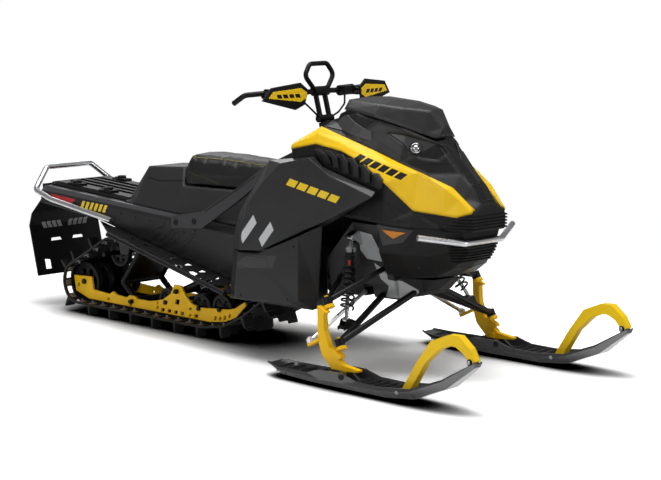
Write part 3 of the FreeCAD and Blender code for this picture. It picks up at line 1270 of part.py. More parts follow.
def deck_socket(x, y, top):
    """A mounting socket on the deck: a foot, a ring with an upright bore, and a tab behind it."""
    foot = top - SOCKET_DEEP
    half_x, half_y, drop = SOCKET_FOOT
    plate = box(x - half_x, x + half_x, y - half_y, y + half_y, foot, top - drop)
    ring = rod((x, y, foot), (x, y, top), DECK_SOCKET_R)
    rear, front, half, drop = SOCKET_TAB
    tab = box(x - rear, x - front, y - half, y + half, foot, top - drop)
    bore = rod((x, y, foot - CUT), (x, y, top + CUT), DECK_BORE_R)
    return fused([plate, ring, tab]).cut(bore).cut(deck_block(TOUCH))


def bumper():
    left = [BUMPER_END, (BELLY[-1][0] + BUMPER_R + TOUCH,) + BUMPER_FRONT]
    save("front_bumper", tube(left + [flip(p) for p in reversed(left)], BUMPER_R, BUMPER_BEND))


# ---------------------------------------------------------------- steering
def king(t):
    """A point on the left kingpin axis, t = 0 at the lower joint and 1 at the upper."""
    return tuple(a + (b - a) * t for a, b in zip(KING_LOW, KING_TOP))


KING_DIR = (V(*KING_TOP) - V(*KING_LOW)).normalize()


def arm(ball, ends, r, extra):
    """An A-arm: an eye about the kingpin axis and two tubes to the chassis."""
    c = V(*ball)
    hole = centred(c, KING_DIR, KING_PIN_R + PIN_GAP, 2.0 * EYE_HEIGHT)
    pieces = [centred(c, KING_DIR, EYE_R, EYE_HEIGHT)]
    for end in ends:
        d = (V(*end) - c).normalize()
        start = c + d * (EYE_R * ARM_START)
        pieces.append(rod(tuple(start), end, r))
    return fused(pieces + extra).cut(hole)


def ear_pair(eye, corners, thick):
    """Outline and x range of the two ears beside a front shock's eye."""
    x, y, z = eye
    outline = [(y + dy, z + dz) for dy, dz in corners]
    near = SHOCK_EYE_W / 2.0 + TOUCH
    return (outline, x - near - thick, x - near), (outline, x + near, x + near + thick)


def front_suspension():
    ears = [prism_x(*ear) for ear in ear_pair(SHOCK_LOW, LOW_EAR, LOW_EAR_THICK)]
    x, y, z = SHOCK_LOW
    long, wide, low, high = EAR_FLOOR
    bottom = box(x - long, x + long, y - wide, y + wide, z + low, z + high)
    lower = arm(KING_LOW, LOWER_ARM_IN, ARM_R, ears + [bottom])
    upper = arm(KING_TOP, UPPER_ARM_IN, UPPER_ARM_R, [])
    for casting in bulkhead_outside(TOUCH):
        lower = lower.cut(casting)
        upper = upper.cut(casting)
    pair("lower_arms", lower)
    pair("upper_arms", upper)
    sizes = (SHOCK_R, SHOCK_ROD_R, SHOCK_EYE, SHOCK_EYE_W)
    pair("front_shocks", damper(SHOCK_TOP, SHOCK_LOW, *sizes, SHOCK_SPLIT, (1, 0, 0), (0.0, 0.0)))
    pair("front_springs", spring(SHOCK_TOP, SHOCK_LOW, SPRING_START, SPRING_STOP, SPRING_R, SPRING_WIRE_R,
                                 SPRING_TURNS))


# the steering arm's tip, square to the kingpin axis and straight behind it
ARM_BACK = (V(-1, 0, 0) + KING_DIR * KING_DIR.x).normalize()
STEER_ARM_TIP = V(*king(STEER_ARM_AT)) + ARM_BACK * STEER_ARM_REACH


def spindle():
    up = V(*KING_TOP) - KING_DIR * (EYE_HEIGHT / 2.0 + LUG_GAP)
    low = V(*KING_LOW) - KING_DIR * (EYE_HEIGHT / 2.0 + LUG_GAP)
    blade = prism_y(BLADE, SKI_Y - BLADE_IN, SKI_Y + FOOT_HALF)
    pieces = [blade]
    for p in (up, low):
        pieces.append(Part.makeCylinder(SPINDLE_LUG_R, SPINDLE_LUG_THICK, p - KING_DIR * SPINDLE_LUG_THICK,
                                        KING_DIR))
        pieces.append(Part.makeCylinder(KING_PIN_R, PIN_ROOT + LUG_GAP + EYE_HEIGHT + PIN_OUT,
                                        p - KING_DIR * PIN_ROOT, KING_DIR))
    bolt = V(SKI_BOLT_X, SKI_Y, SKI_BOLT_Z)
    across = V(0, 1, 0)
    pieces.append(centred(bolt, across, FOOT_R, 2.0 * FOOT_HALF))
    pieces.append(box(SKI_BOLT_X - FOOT_R, SKI_BOLT_X + FOOT_R, SKI_Y - FOOT_HALF, SKI_Y + FOOT_HALF,
                      SKI_BOLT_Z, BLADE_FOOT))
    side = KING_DIR.cross(ARM_BACK)
    root = V(*king(STEER_ARM_AT)) + ARM_BACK * STEER_ARM_ROOT
    corners = [STEER_ARM_TIP + side * STEER_ARM_TIP_HALF, STEER_ARM_TIP - side * STEER_ARM_TIP_HALF,
               root - side * STEER_ARM_ROOT_OUT, root + side * STEER_ARM_ROOT_IN]
    pieces.append(Part.Face(Part.makePolygon(corners + corners[:1])).extrude(KING_DIR * STEER_ARM_THICK))
    pieces.append(Part.makeCylinder(STEER_ARM_R, STEER_ARM_THICK, STEER_ARM_TIP, KING_DIR))
    return fused(pieces).cut(centred(bolt, across, SKI_BOLT_R + PIN_GAP, REACH))


def ski():
    rings = []
    outer, inner, foot, fall = SKI_RIM
    for x, z0, z1, w, h in SKI:
        half = ((w * SKI_FLAT, z0), (w, z1), (w - outer, z1 + h), (w - inner, z1 + h), (w - foot, z1 - fall))
        ring = [(x, SKI_Y + y, z) for y, z in half] + [(x, SKI_Y - y, z) for y, z in reversed(half)]
        rings.append(ring)
    plate = facets(rings)
    ribs = [box(x, x + RIB_THICK, SKI_Y - half, SKI_Y + half, RIB_FOOT, RIB_TOP) for x, half in SKI_RIBS]
    near = FOOT_HALF + SADDLE_GAP
    far = near + SADDLE_THICK
    outline = [(SKI_BOLT_X + dx, z) for dx, z in SADDLE]
    ears = [prism_y(outline, SKI_Y - far, SKI_Y - near), prism_y(outline, SKI_Y + near, SKI_Y + far)]
    bolt = centred(V(SKI_BOLT_X, SKI_Y, SKI_BOLT_Z), V(0, 1, 0), SKI_BOLT_R, 2.0 * (far + BOLT_HEAD))
    return fused([plate, bolt] + ribs + ears)


def runner():
    a, b, c, d = RUNNER
    top = SKI[2][1] - TOUCH
    return prism_y(((a, top), (b, 0.0), (c, 0.0), (d, top)), SKI_Y - RUNNER_HALF, SKI_Y + RUNNER_HALF)


def ski_loop():
    return prism_y(LOOP_OUTER + LOOP_INNER, SKI_Y - LOOP_HALF, SKI_Y + LOOP_HALF)


def front_end():
    each_side("spindle", spindle())
    each_side("ski", ski())
    each_side("ski_runner", runner())
    each_side("ski_loop", ski_loop().cut(ski()))


def guard_x(y, z):
    x0, y0, z0, along_y, along_z = GUARD_FACE
    return x0 + along_y * (y - y0) + along_z * (z - z0)


def guard_plate(outline, x0, x1):
    return facets([[(guard_x(y, z) + x, y, z) for y, z in outline] for x in (x0, x1)])





def steering():
    """Post, bar and what they carry; all of it turns about the post."""
    route = BAR + tuple(flip(p) for p in reversed(BAR))
    hole = tube(route, BAR_R + TOUCH, BAR_BEND)
    save("handlebar", tube(route, BAR_R, BAR_BEND))
    foot = V(*STEER_FOOT)
    head = V(*STEER_HEAD)
    lean = (head - foot).normalize()
    pieces = []
    for y in (-POST_TUBE_Y, POST_TUBE_Y):
        pieces.append(rod(foot + V(0, y, 0), head + V(0, y, 0) + lean * POST_TUBE_OUT, POST_TUBE_R))
    pieces.append(centred(foot, V(0, 1, 0), POST_FOOT_R - TOUCH, 2.0 * POST_FOOT_HALF))
    pieces.append(centred(V(BAR[-1][0], 0, BAR[-1][2]), V(0, 1, 0), CLAMP_R, 2.0 * CLAMP_HALF))
    pieces.append(Part.makeCylinder(POST_PIN_R, POST_PIN_LENGTH, foot - lean * POST_PIN_LENGTH, lean))
    save("steering_post", fused(pieces).cut(hole))
    knee_x, knee_y, knee_z = BAR[3]
    y0, y1, r = GRIP
    sleeve = rod((knee_x, y0, knee_z + GRIP_RISE), (BAR[2][0], y1, BAR[2][2] + GRIP_RISE), r)
    pair("grips", sleeve.cut(hole))
    brake = [rod(*BRAKE_CLAMP, CONTROL_R), box(*RESERVOIR), tube(BRAKE_LEVER, LEVER_R, LEVER_BEND)]
    throttle = [mirrored(rod(*THROTTLE_CLAMP, CONTROL_R)), tube(THROTTLE_LEVER, LEVER_R, THROTTLE_BEND)]
    save("controls", fused(brake).cut(hole), fused(throttle).cut(hole))
    save("bar_cables", *[tube(cable, CABLE_R, CABLE_BEND) for cable in CABLES])
    guard = [guard_plate(GUARD, -GUARD_THICK, 0.0)]
    half, r = STAY_RING
    for y in STAY_Y:
        tip = (guard_x(y, STAY_Z) - GUARD_THICK / 2.0, y, STAY_Z)
        guard.append(rod((knee_x, y, knee_z + STAY_RISE), tip, STAY_R))
        guard.append(rod((knee_x - RING_BACK, y - half, knee_z + RING_RISE[0]),
                         (knee_x - RING_BACK, y + half, knee_z + RING_RISE[1]), r))
    pair("handguards", fused(guard).cut(hole))
    pair("guard_inserts", guard_plate(INSERT, TOUCH, INSERT_THICK))
    save("strap_loop", tube(STRAP, STRAP_R, STRAP_BEND).cut(hole).cut(fused(pieces)))


def tie_rods():
    """Rods from the rack in the bulkhead to the tops of the spindles' steering arms."""
    tip = STEER_ARM_TIP + KING_DIR * (STEER_ARM_THICK + TIE_GAP)
    eye = Part.makeCylinder(TIE_EYE_R, TIE_EYE_HEIGHT, tip, KING_DIR)
    cap = Part.makeCylinder(TIE_CAP_R, TIE_CAP_HEIGHT, tip + KING_DIR * TIE_CAP_START, KING_DIR)
    middle = tip + KING_DIR * (TIE_EYE_HEIGHT / 2.0)
    each_side("tie_rod", fused([eye, cap, rod(TIE_IN, middle, TIE_R)]))


# ---------------------------------------------------------------- output
made = {}
os.makedirs("parts", exist_ok=True)
track()
line = belt_line()
print("track length", round(sum(hypot(b[0] - a[0], b[1] - a[1]) for a, b in zip(line, line[1:] + line[:1]))))
skid_frame()
wheels()
skid_arms()
track_shocks()
drive_axle()
tunnel()
boards()
nose_grille, window = hood()
belly_pan(nose_grille, window)
visor()
side_panels()
engine_bay()
console()
seat()
rear()
bumper()
front_suspension()
front_end()
steering()
tie_rods()
box_all = Part.makeCompound(list(made.values())).BoundBox
print("length, width, height", round(box_all.XLength), round(box_all.YLength), round(box_all.ZLength))
print("nodes", len(made))
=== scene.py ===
# %% [markdown]
# # A mountain snowmobile, dressed for a studio picture
# The rigid parts come ready made as a frame: every node of it already stands in its place,
# in metres, +X forward, +Y to the rider's left and +Z up.  This lesson gives each of them a
# finish, and adds the small and the soft things: seat cover, lamps, clips, bolts and stripes.
# All new shapes are worked out with numpy as whole grids of points, because a formula on a
# grid is easy to check, to resize and to mirror.

from math import cos, pi, radians, sin, tau

import bmesh
import bpy
import numpy as np
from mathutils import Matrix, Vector


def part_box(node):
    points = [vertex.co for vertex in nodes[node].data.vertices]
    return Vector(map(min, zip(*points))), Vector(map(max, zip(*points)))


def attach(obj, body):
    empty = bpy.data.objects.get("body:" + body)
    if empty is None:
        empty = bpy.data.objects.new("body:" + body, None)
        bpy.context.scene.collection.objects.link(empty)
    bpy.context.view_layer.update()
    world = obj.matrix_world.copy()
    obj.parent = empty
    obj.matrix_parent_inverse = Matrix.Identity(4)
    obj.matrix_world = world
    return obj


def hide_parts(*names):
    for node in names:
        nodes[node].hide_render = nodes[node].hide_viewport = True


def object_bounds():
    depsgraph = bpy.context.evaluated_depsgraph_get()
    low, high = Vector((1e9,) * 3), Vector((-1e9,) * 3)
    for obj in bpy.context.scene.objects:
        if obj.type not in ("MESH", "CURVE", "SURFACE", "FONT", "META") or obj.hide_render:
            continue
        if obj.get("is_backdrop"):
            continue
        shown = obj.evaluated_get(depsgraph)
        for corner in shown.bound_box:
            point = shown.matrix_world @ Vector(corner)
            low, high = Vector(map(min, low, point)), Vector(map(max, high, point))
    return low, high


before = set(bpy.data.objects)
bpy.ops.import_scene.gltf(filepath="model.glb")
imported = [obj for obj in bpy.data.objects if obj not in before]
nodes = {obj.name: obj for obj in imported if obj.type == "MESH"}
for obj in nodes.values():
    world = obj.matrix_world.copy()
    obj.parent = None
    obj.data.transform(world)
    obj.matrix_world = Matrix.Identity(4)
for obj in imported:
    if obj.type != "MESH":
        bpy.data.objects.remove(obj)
solid_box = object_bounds()
SIDES = (-1.0, 1.0)  # right, left
HANDS = ("left", "right")
MM = 1000.0  # millimetres in a metre

# %% [markdown]
# ## Small tools for node trees
# A finish is a tree of shader nodes.  `add` puts one node in a tree and sets its inputs by
# name, and a link is made whenever the value given is another node's output.  That keeps each
# finish short enough to read as a recipe.


# %% Node helpers
def feed(tree, socket, value):
    """Link a node's output to a socket, or write a plain value into it."""
    if isinstance(value, bpy.types.NodeSocket):
        tree.links.new(value, socket)
    else:
        socket.default_value = value


def add(tree, kind, settings=None, **inputs):
    """Put one node in a tree; i0, i1 and so on are inputs by number, the others by name."""
    node = tree.nodes.new(kind)
    for key, value in (settings or {}).items():
        setattr(node, key, value)
    for key, value in inputs.items():
        numbered = key[0] == "i" and key[1:].isdigit()
        feed(tree, node.inputs[int(key[1:])] if numbered else node.inputs[key.replace("_", " ")], value)
    return node


def maths(tree, operation, *values, clamp=False):
    """One arithmetic step; each value is a number or another node's output."""
    node = tree.nodes.new("ShaderNodeMath")
    node.operation = operation
    node.use_clamp = clamp
    for socket, value in zip(node.inputs, values):
        feed(tree, socket, value)
    return node.outputs[0]


def vectors(tree, operation, a, b, output="Vector"):
    """One step with two vectors."""
    return add(tree, "ShaderNodeVectorMath", {"operation": operation}, i0=a, i1=b).outputs[output]


def blend_colours(tree, mask, low, high):
    """The low colour where the mask is 0, the high colour where it is 1."""
    node = tree.nodes.new("ShaderNodeMix")
    node.data_type = "RGBA"
    for number, value in ((0, mask), (6, low), (7, high)):
        feed(tree, node.inputs[number], value)
    return node.outputs[2]


def remap(tree, value, low, high, new_low=0.0, new_high=1.0):
    """Stretch a value's range from (low, high) to (new_low, new_high), and clamp it."""
    node = add(tree, "ShaderNodeMapRange", Value=value, From_Min=low, From_Max=high, To_Min=new_low,
               To_Max=new_high)
    return node.outputs[0]


def group(name, ins, outs):
    """An empty node group with named number, colour or vector sockets."""
    tree = bpy.data.node_groups.new(name, "ShaderNodeTree")
    kinds = {"value": "NodeSocketFloat", "colour": "NodeSocketColor", "vector": "NodeSocketVector"}
    for label, kind, start in ins:
        tree.interface.new_socket(label, in_out="INPUT", socket_type=kinds[kind]).default_value = start
    for label, kind in outs:
        tree.interface.new_socket(label, in_out="OUTPUT", socket_type=kinds[kind])
    print("group", name, "with", len(ins), "inputs")
    return tree, tree.nodes.new("NodeGroupInput").outputs, tree.nodes.new("NodeGroupOutput").inputs


def use(tree, made, **inputs):
    """Place a node group in a tree with its own values, and return its outputs."""
    node = tree.nodes.new("ShaderNodeGroup")
    node.node_tree = made
    for key, value in inputs.items():
        feed(tree, node.inputs[key.replace("_", " ")], value)
    return node.outputs


def point_place(tree):
    """Where the point being shaded lies, in the machine's axes."""
    return tree.nodes.new("ShaderNodeTexCoord").outputs["Object"]


def point_normal(tree):
    """The direction that the skin faces at that point."""
    return tree.nodes.new("ShaderNodeNewGeometry").outputs["Normal"]


def axes(tree, vector):
    """The X, Y and Z of a vector, by name."""
    return add(tree, "ShaderNodeSeparateXYZ", Vector=vector).outputs


def solid(colour):
    """A colour that nothing shows through."""
    return tuple(colour) + (1.0,)


# %% [markdown]
# ## Effects that many finishes share
# Pressed plastic and cast parts have soft creases, not knife edges.  A Bevel node looks at the
# faces round a point and gives a rounded normal, so the frame's flat facets can stay as they
# are.  Where that rounded normal and the face's own normal part, the point is near an edge:
# the same difference is the mask for pale edges, partly rubbed wear, partly a painted highlight.


# %% Soft creases, and pale edges of wear and painted highlight
SMOOTH, EDGE = 0.995, 0.93  # how alike the two normals are where the edge's mask is 0 and where it is 1


def build_crease():
    """A group: the rounded normal for a radius, and a mask that is 1 on edges."""
    tree, given, result = group("soft crease", [("Radius", "value", 0.003)],
                                [("Normal", "vector"), ("Edge", "value")])
    bevel = add(tree, "ShaderNodeBevel", {"samples": 6}, Radius=given["Radius"]).outputs[0]
    alike = vectors(tree, "DOT_PRODUCT", bevel, point_normal(tree), "Value")
    tree.links.new(bevel, result["Normal"])
    tree.links.new(remap(tree, alike, SMOOTH, EDGE), result["Edge"])
    return tree


CREASE = build_crease()

# %% [markdown]
# Textured plastic is a field of tiny bumps from the etched mould.  Two noises do it: a fine one
# for the grain itself and a broad one, so that a big panel is not the same everywhere.


# %% Moulded grain
def build_grain():
    """A group: the height of grain of a given size, and a broad mottling."""
    tree, given, result = group("moulded grain", [("Size", "value", 0.001)],
                                [("Height", "value"), ("Mottle", "value")])
    place = point_place(tree)
    scale = maths(tree, "DIVIDE", 1.0, given["Size"])
    fine = add(tree, "ShaderNodeTexNoise", Vector=place, Scale=scale, Detail=2.0, Roughness=0.6)
    broad = add(tree, "ShaderNodeTexNoise", Vector=place, Scale=9.0, Detail=3.0, Roughness=0.55)
    tree.links.new(fine.outputs[0], result["Height"])
    tree.links.new(broad.outputs[0], result["Mottle"])
    return tree


GRAIN = build_grain()

# %% [markdown]
# Dust settles on what faces up, in patches.  The mask is the upward part of the normal times a
# cloudy noise, and a finish mixes a pale colour with it, a little only: this machine is new.


# %% Settled dust
CLEAR, DUSTY = 0.42, 0.68  # the noise where a patch of dust starts and where it is full
STEEP, LEVEL = 0.2, 1.0  # the upward part of the normal where dust starts to stay and where all of it does


def build_dust():
    """A group: a mask that is 1 where dust lies."""
    tree, given, result = group("settled dust", [("Amount", "value", 0.2)], [("Mask", "value")])
    up = axes(tree, point_normal(tree))["Z"]
    cloud = add(tree, "ShaderNodeTexNoise", Vector=point_place(tree), Scale=14.0, Detail=5.0, Roughness=0.7)
    patch = remap(tree, cloud.outputs[0], CLEAR, DUSTY)
    lying = maths(tree, "MULTIPLY", patch, remap(tree, up, STEEP, LEVEL))
    tree.links.new(maths(tree, "MULTIPLY", lying, given["Amount"]), result["Mask"])
    return tree


DUST = build_dust()

# %% [markdown]
# Stripes on the panels are flat coloured film.  Each is a row of slanted bars, drawn by where
# a point lies along and across a line in the machine's side view: no picture is needed, it
# stays sharp at any size, and taking Y without its sign draws it on both sides at once.


# %% Rows of slanted bars
def side_place(tree):
    """The point's place with Y made positive."""
    split = axes(tree, point_place(tree))
    side = maths(tree, "ABSOLUTE", split["Y"])
    return add(tree, "ShaderNodeCombineXYZ", X=split["X"], Y=side, Z=split["Z"]).outputs[0]


def within(tree, value):
    """1 where a value lies between 0 and 1."""
    above, below = maths(tree, "GREATER_THAN", value, 0.0), maths(tree, "LESS_THAN", value, 1.0)
    return maths(tree, "MULTIPLY", above, below)


def build_bars():
    """A group: a mask that is 1 on a row of slanted bars."""
    starts = {"Start": (0.0, 0.0, 0.0), "Along": (1.0, 0.0, 0.0), "Across": (0.0, 0.0, 1.0)}
    numbers = {"Length": 0.2, "Height": 0.03, "Count": 3.0, "Fill": 0.8, "Slant": 0.3}
    ins = [(label, "vector", start) for label, start in starts.items()]
    ins += [(label, "value", start) for label, start in numbers.items()]
    tree, given, result = group("slanted bars", ins, [("Mask", "value")])
    away = vectors(tree, "SUBTRACT", side_place(tree), given["Start"])
    along = vectors(tree, "DOT_PRODUCT", away, given["Along"], "Value")
    across = vectors(tree, "DOT_PRODUCT", away, given["Across"], "Value")
    v = maths(tree, "DIVIDE", across, given["Height"])
    lean = maths(tree, "MULTIPLY", across, given["Slant"])
    u = maths(tree, "DIVIDE", maths(tree, "SUBTRACT", along, lean), given["Length"])
    row = maths(tree, "MULTIPLY", within(tree, u), within(tree, v))
    step = maths(tree, "FRACT", maths(tree, "MULTIPLY", u, given["Count"]))
    bar = maths(tree, "LESS_THAN", step, given["Fill"])
    tree.links.new(maths(tree, "MULTIPLY", row, bar), result["Mask"])
    return tree


def stripe(start, along, length, height, count, fill, slant):
    """The settings of one row of bars; a row along Y is drawn on what faces front or back."""
    x, y, z = along
    across = (0.0, 0.0, 1.0) if y else (-z, 0.0, x)
    return dict(Start=start, Along=along, Across=across, Length=length, Height=height, Count=count, Fill=fill,
                Slant=slant)


BARS = build_bars()

# %% [markdown]
# A seam, a groove or a row of stitches is a thin line on the skin.  The group below measures
# how far a point is, in side view, from the stretch between two points, and is 1 on the line.


# %% Lines on the skin
CORE, RIM = 0.4, 0.6  # shares of the width where the line starts to fade and where it ends


def build_line():
    """A group: a mask that is 1 on the line between two points."""
    ins = [("Start", "vector", (0.0, 0.0, 0.0)), ("End", "vector", (1.0, 0.0, 0.0)),
           ("Width", "value", 0.002)]
    tree, given, result = group("line on the skin", ins, [("Mask", "value")])
    place = vectors(tree, "MULTIPLY", side_place(tree), (1.0, 0.0, 1.0))
    run = vectors(tree, "SUBTRACT", given["End"], given["Start"])
    away = vectors(tree, "SUBTRACT", place, given["Start"])
    share = maths(tree, "DIVIDE", vectors(tree, "DOT_PRODUCT", away, run, "Value"),
                  vectors(tree, "DOT_PRODUCT", run, run, "Value"), clamp=True)
    near = add(tree, "ShaderNodeVectorMath", {"operation": "SCALE"}, i0=run, Scale=share).outputs[0]
    off = vectors(tree, "SUBTRACT", away, near)
    distance = add(tree, "ShaderNodeVectorMath", {"operation": "LENGTH"}, i0=off).outputs["Value"]
    widths = maths(tree, "DIVIDE", distance, given["Width"])
    tree.links.new(remap(tree, widths, CORE, RIM, 1.0, 0.0), result["Mask"])
    return tree


LINE = build_line()

# %% [markdown]
# ## One recipe for plastics and paints
# Most of the machine is black or yellow plastic.  They differ in colour, gloss and grain, so
# one function writes the tree: crease, grain and dust are placed in it with the numbers of
# each finish.  The shader itself and its plain numbers stay in the material.  `tones` are
# places in another colour (a casting left bare, a rod left bright), each given as a test on
# the point's place or facing; some tones are painted light: painted shade, a painted
# reflection and a painted highlight.


# %% Plastic and paint
BLACK = (0.006, 0.006, 0.0065)
SEAM = (0.001, 0.001, 0.001)
DUST_COLOUR = (0.42, 0.41, 0.40)
MOTTLE = (0.3, 0.7)  # the range of the broad noise
MOTTLED = (0.86, 1.12)  # how dark and how light it makes the colour
ROUGHER = 0.05  # how far it moves the roughness each way
GROOVE = 2.0  # how deep a line is, in heights of grain
GRAIN_HEIGHT = 0.0004
COAT_ROUGH = 0.08
EDGE_SHEEN_AND_WEAR, EDGE_SHEEN_AND_WEAR_LIFT = 1.8, 0.03  # how many times paler an edge is than the colour, and how much is added: wear and painted highlight


def plastic(name, colour, rough, grain=0.0, size=0.001, coat=0.0, edge=0.15, dust=0.0, crease=0.003,
            metal=0.0, gleam=0.38, bars=(), lines=(), tones=()):
    """A material: mottled colour, other tones (some of them painted light), film stripes, pale edges (wear
    and painted highlight), dust and seams.

    tones are (test, colour, metal), bars are (stripe, colour) and lines are (route of (x, z), width).
    """
    made = bpy.data.materials.new(name)
    made.use_nodes = True
    tree = made.node_tree
    shader = tree.nodes["Principled BSDF"]
    grains = use(tree, GRAIN, Size=size)
    creases = use(tree, CREASE, Radius=crease)
    dark, light = (solid(min(c * share, 1.0) for c in colour) for share in MOTTLED)
    shade = blend_colours(tree, grains["Mottle"], dark, light)
    shine = metal
    for test, paint, paint_metal in tones:
        mask = test(tree)
        shade = blend_colours(tree, mask, shade, solid(paint))
        shine = add(tree, "ShaderNodeMix", i0=mask, i2=shine, i3=paint_metal).outputs[0]
    for spec, paint in bars:
        shade = blend_colours(tree, use(tree, BARS, **spec)["Mask"], shade, solid(paint))
    # Pale edges: partly rubbed wear, partly a painted highlight along the edges.
    edge_sheen_and_wear_colour = solid(min(c * EDGE_SHEEN_AND_WEAR + EDGE_SHEEN_AND_WEAR_LIFT, 1.0) for c in colour)
    shade = blend_colours(tree, maths(tree, "MULTIPLY", creases["Edge"], edge), shade, edge_sheen_and_wear_colour)
    if dust:
        shade = blend_colours(tree, use(tree, DUST, Amount=dust)["Mask"], shade, solid(DUST_COLOUR))
    height = grains["Height"]
    for route, width in lines:
        ends = [(x, 0.0, z) for x, z in route]
        for start, end in zip(ends, ends[1:]):
            mask = use(tree, LINE, Start=start, End=end, Width=width)["Mask"]
            shade = blend_colours(tree, mask, shade, solid(SEAM))
            height = maths(tree, "SUBTRACT", height, maths(tree, "MULTIPLY", mask, GROOVE))
    feed(tree, shader.inputs["Base Color"], shade)
    feed(tree, shader.inputs["Metallic"], shine)
    roughness = remap(tree, grains["Mottle"], *MOTTLE, rough - ROUGHER, rough + ROUGHER)
    feed(tree, shader.inputs["Roughness"], roughness)
    plain = {"Specular IOR Level": gleam, "Coat Weight": coat, "Coat Roughness": COAT_ROUGH}
    for label, value in plain.items():
        shader.inputs[label].default_value = value
    bump = add(tree, "ShaderNodeBump", Strength=grain, Distance=GRAIN_HEIGHT, Height=height,
               Normal=creases["Normal"])
    feed(tree, shader.inputs["Normal"], bump.outputs[0])
    return made


def dress(material, *names):
    """Give a finish to nodes of the frame."""
    for name in names:
        slots = nodes[name].data.materials
        slots.clear()
        slots.append(material)
    print(material.name, "on", *names)


def inside(*corners):
    """A test: 1 inside the outline through (x, z) corners, given clockwise, with no hollow corner."""
    def test(tree):
        split = axes(tree, point_place(tree))
        mask = 1.0
        for (x0, z0), (x1, z1) in zip(corners, corners[1:] + corners[:1]):
            a = maths(tree, "MULTIPLY", maths(tree, "SUBTRACT", split["X"], x0), z1 - z0)
            b = maths(tree, "MULTIPLY", maths(tree, "SUBTRACT", split["Z"], z0), x1 - x0)
            mask = maths(tree, "MULTIPLY", mask, maths(tree, "GREATER_THAN", a, b))
        return mask
    return test


FACES_DOWN = -0.2  # the upward part of the normal below which a skin faces down
SKI_BEND = (1.22, 1.40)  # x where a ski starts to rise and where the painted reflection of the pale floor is full
FLANK = (0.52, 0.66)  # the sideways part of the normal where the painted shade on a flank starts and where it is full


def painted_floor_reflection(tree):
    """A test for a painted reflection of the pale floor: 1 on what faces down ahead of the skis' bend."""
    up = axes(tree, point_normal(tree))["Z"]
    ahead = axes(tree, point_place(tree))["X"]
    return maths(tree, "MULTIPLY", maths(tree, "LESS_THAN", up, FACES_DOWN), remap(tree, ahead, *SKI_BEND))


def flank_painted_shade(tree):
    """A test for painted shade: 1 on what faces the left or the right side, fading over a rounded edge."""
    return remap(tree, maths(tree, "ABSOLUTE", axes(tree, point_normal(tree))["Y"]), *FLANK)


# %% [markdown]
# ## The finishes of this machine
# Yellow: moulded-through, glossy panels, and satin powder coat on the metal.  Black and
# charcoal: fine textured plastic.  Stripes of film lie where a maker would put graphics; they
# are plain bars.

# %% Yellow panels and powder coat
hood_stripe = stripe((0.668, 0.0, 0.859), (0.953, 0.0, -0.303), 0.235, 0.026, 6.0, 0.80, 0.5)
yellow_gloss = plastic("yellow gloss plastic", (0.82, 0.51, 0.004), 0.38, grain=0.02, edge=0.0,
                       crease=0.016, gleam=0.25, bars=[(hood_stripe, BLACK)])
dress(yellow_gloss, "hood_panels")
yellow_loop = plastic("yellow loop plastic", (0.98, 0.60, 0.006), 0.36, grain=0.1, gleam=0.25, edge=0.0,
                      crease=0.006)
dress(yellow_loop, "ski_loop_left", "ski_loop_right")
yellow_coat = plastic("yellow powder coat", (0.92, 0.52, 0.003), 0.40, grain=0.1, gleam=0.25, size=0.0015,
                      edge=0.0, crease=0.004)
dress(yellow_coat, "slide_rail", "spindle_left", "spindle_right")
guard_stripe = stripe((0.0, 0.19, 1.080), (0.0, 1.0, 0.0), 0.12, 0.016, 4.0, 0.75, 0.5)
guard_yellow = plastic("yellow guard plastic", (1.0, 0.60, 0.008), 0.34, grain=0.05, edge=0.0,
                       crease=0.004, bars=[(guard_stripe, BLACK)])
dress(guard_yellow, "guard_inserts")

# %% [markdown]
# Black plastic is never quite black: each part has its own grey, set by how much of the
# studio it throws back.  Seams and catches are lines and patches on the skin.

# %% Black and charcoal plastics
SILVER_FILM = (0.50, 0.51, 0.52)
YELLOW_FILM = (0.80, 0.55, 0.02)
UPWARDS = (0.62, 0.0, 0.785)
panel_line = stripe((0.385, 0.0, 0.742), (0.978, 0.0, -0.208), 0.27, 0.030, 5.0, 0.82, 0.5)
mark_up = stripe((0.165, 0.0, 0.485), UPWARDS, 0.115, 0.034, 1.0, 1.0, 0.4)
mark_down = stripe((0.268, 0.0, 0.480), UPWARDS, 0.095, 0.034, 1.0, 1.0, 0.4)
charcoal = plastic("charcoal side plastic", (0.021, 0.021, 0.0225), 0.36, grain=0.15, edge=0.2, crease=0.007,
                   bars=[(panel_line, YELLOW_FILM), (mark_up, SILVER_FILM), (mark_down, SILVER_FILM)])
dress(charcoal, "side_panels")
inset_line = [(0.150, 0.437), (0.300, 0.440), (0.330, 0.372), (0.150, 0.392)]
inset_patch = inside((0.122, 0.399), (0.188, 0.439), (0.360, 0.454), (0.336, 0.402), (0.140, 0.380))
charcoal_lower = plastic("charcoal lower plastic", (0.008, 0.008, 0.009), 0.38, grain=0.2, edge=0.2,
                         crease=0.008, lines=[(inset_line, 0.003)],
                         tones=[(inset_patch, (0.030, 0.030, 0.032), 0.0)])
dress(charcoal_lower, "lower_side_panels")
window_corners = [(0.543, 0.994), (0.610, 0.998), (0.687, 0.959), (0.654, 0.917), (0.543, 0.942)]
hood_seams = [([(0.366, 0.700), (0.700, 0.735), (0.842, 0.700), (0.960, 0.640)], 0.003),
              ([(0.842, 0.700), (0.905, 0.612)], 0.003),
              ([(0.515, 1.000), (0.560, 0.950)], 0.003),
              (window_corners + window_corners[:1], 0.0035),
              ([(0.575, 0.996), (0.580, 0.935)], 0.002),
              ([(0.688, 0.961), (0.812, 0.961), (0.892, 0.943)], 0.003),
              ([(0.688, 0.961), (0.705, 0.939), (0.786, 0.893), (0.882, 0.844), (1.028, 0.852)], 0.004)]
hood_window = inside(*window_corners)
catch_square = inside((0.648, 0.946), (0.664, 0.941), (0.662, 0.926), (0.646, 0.931))
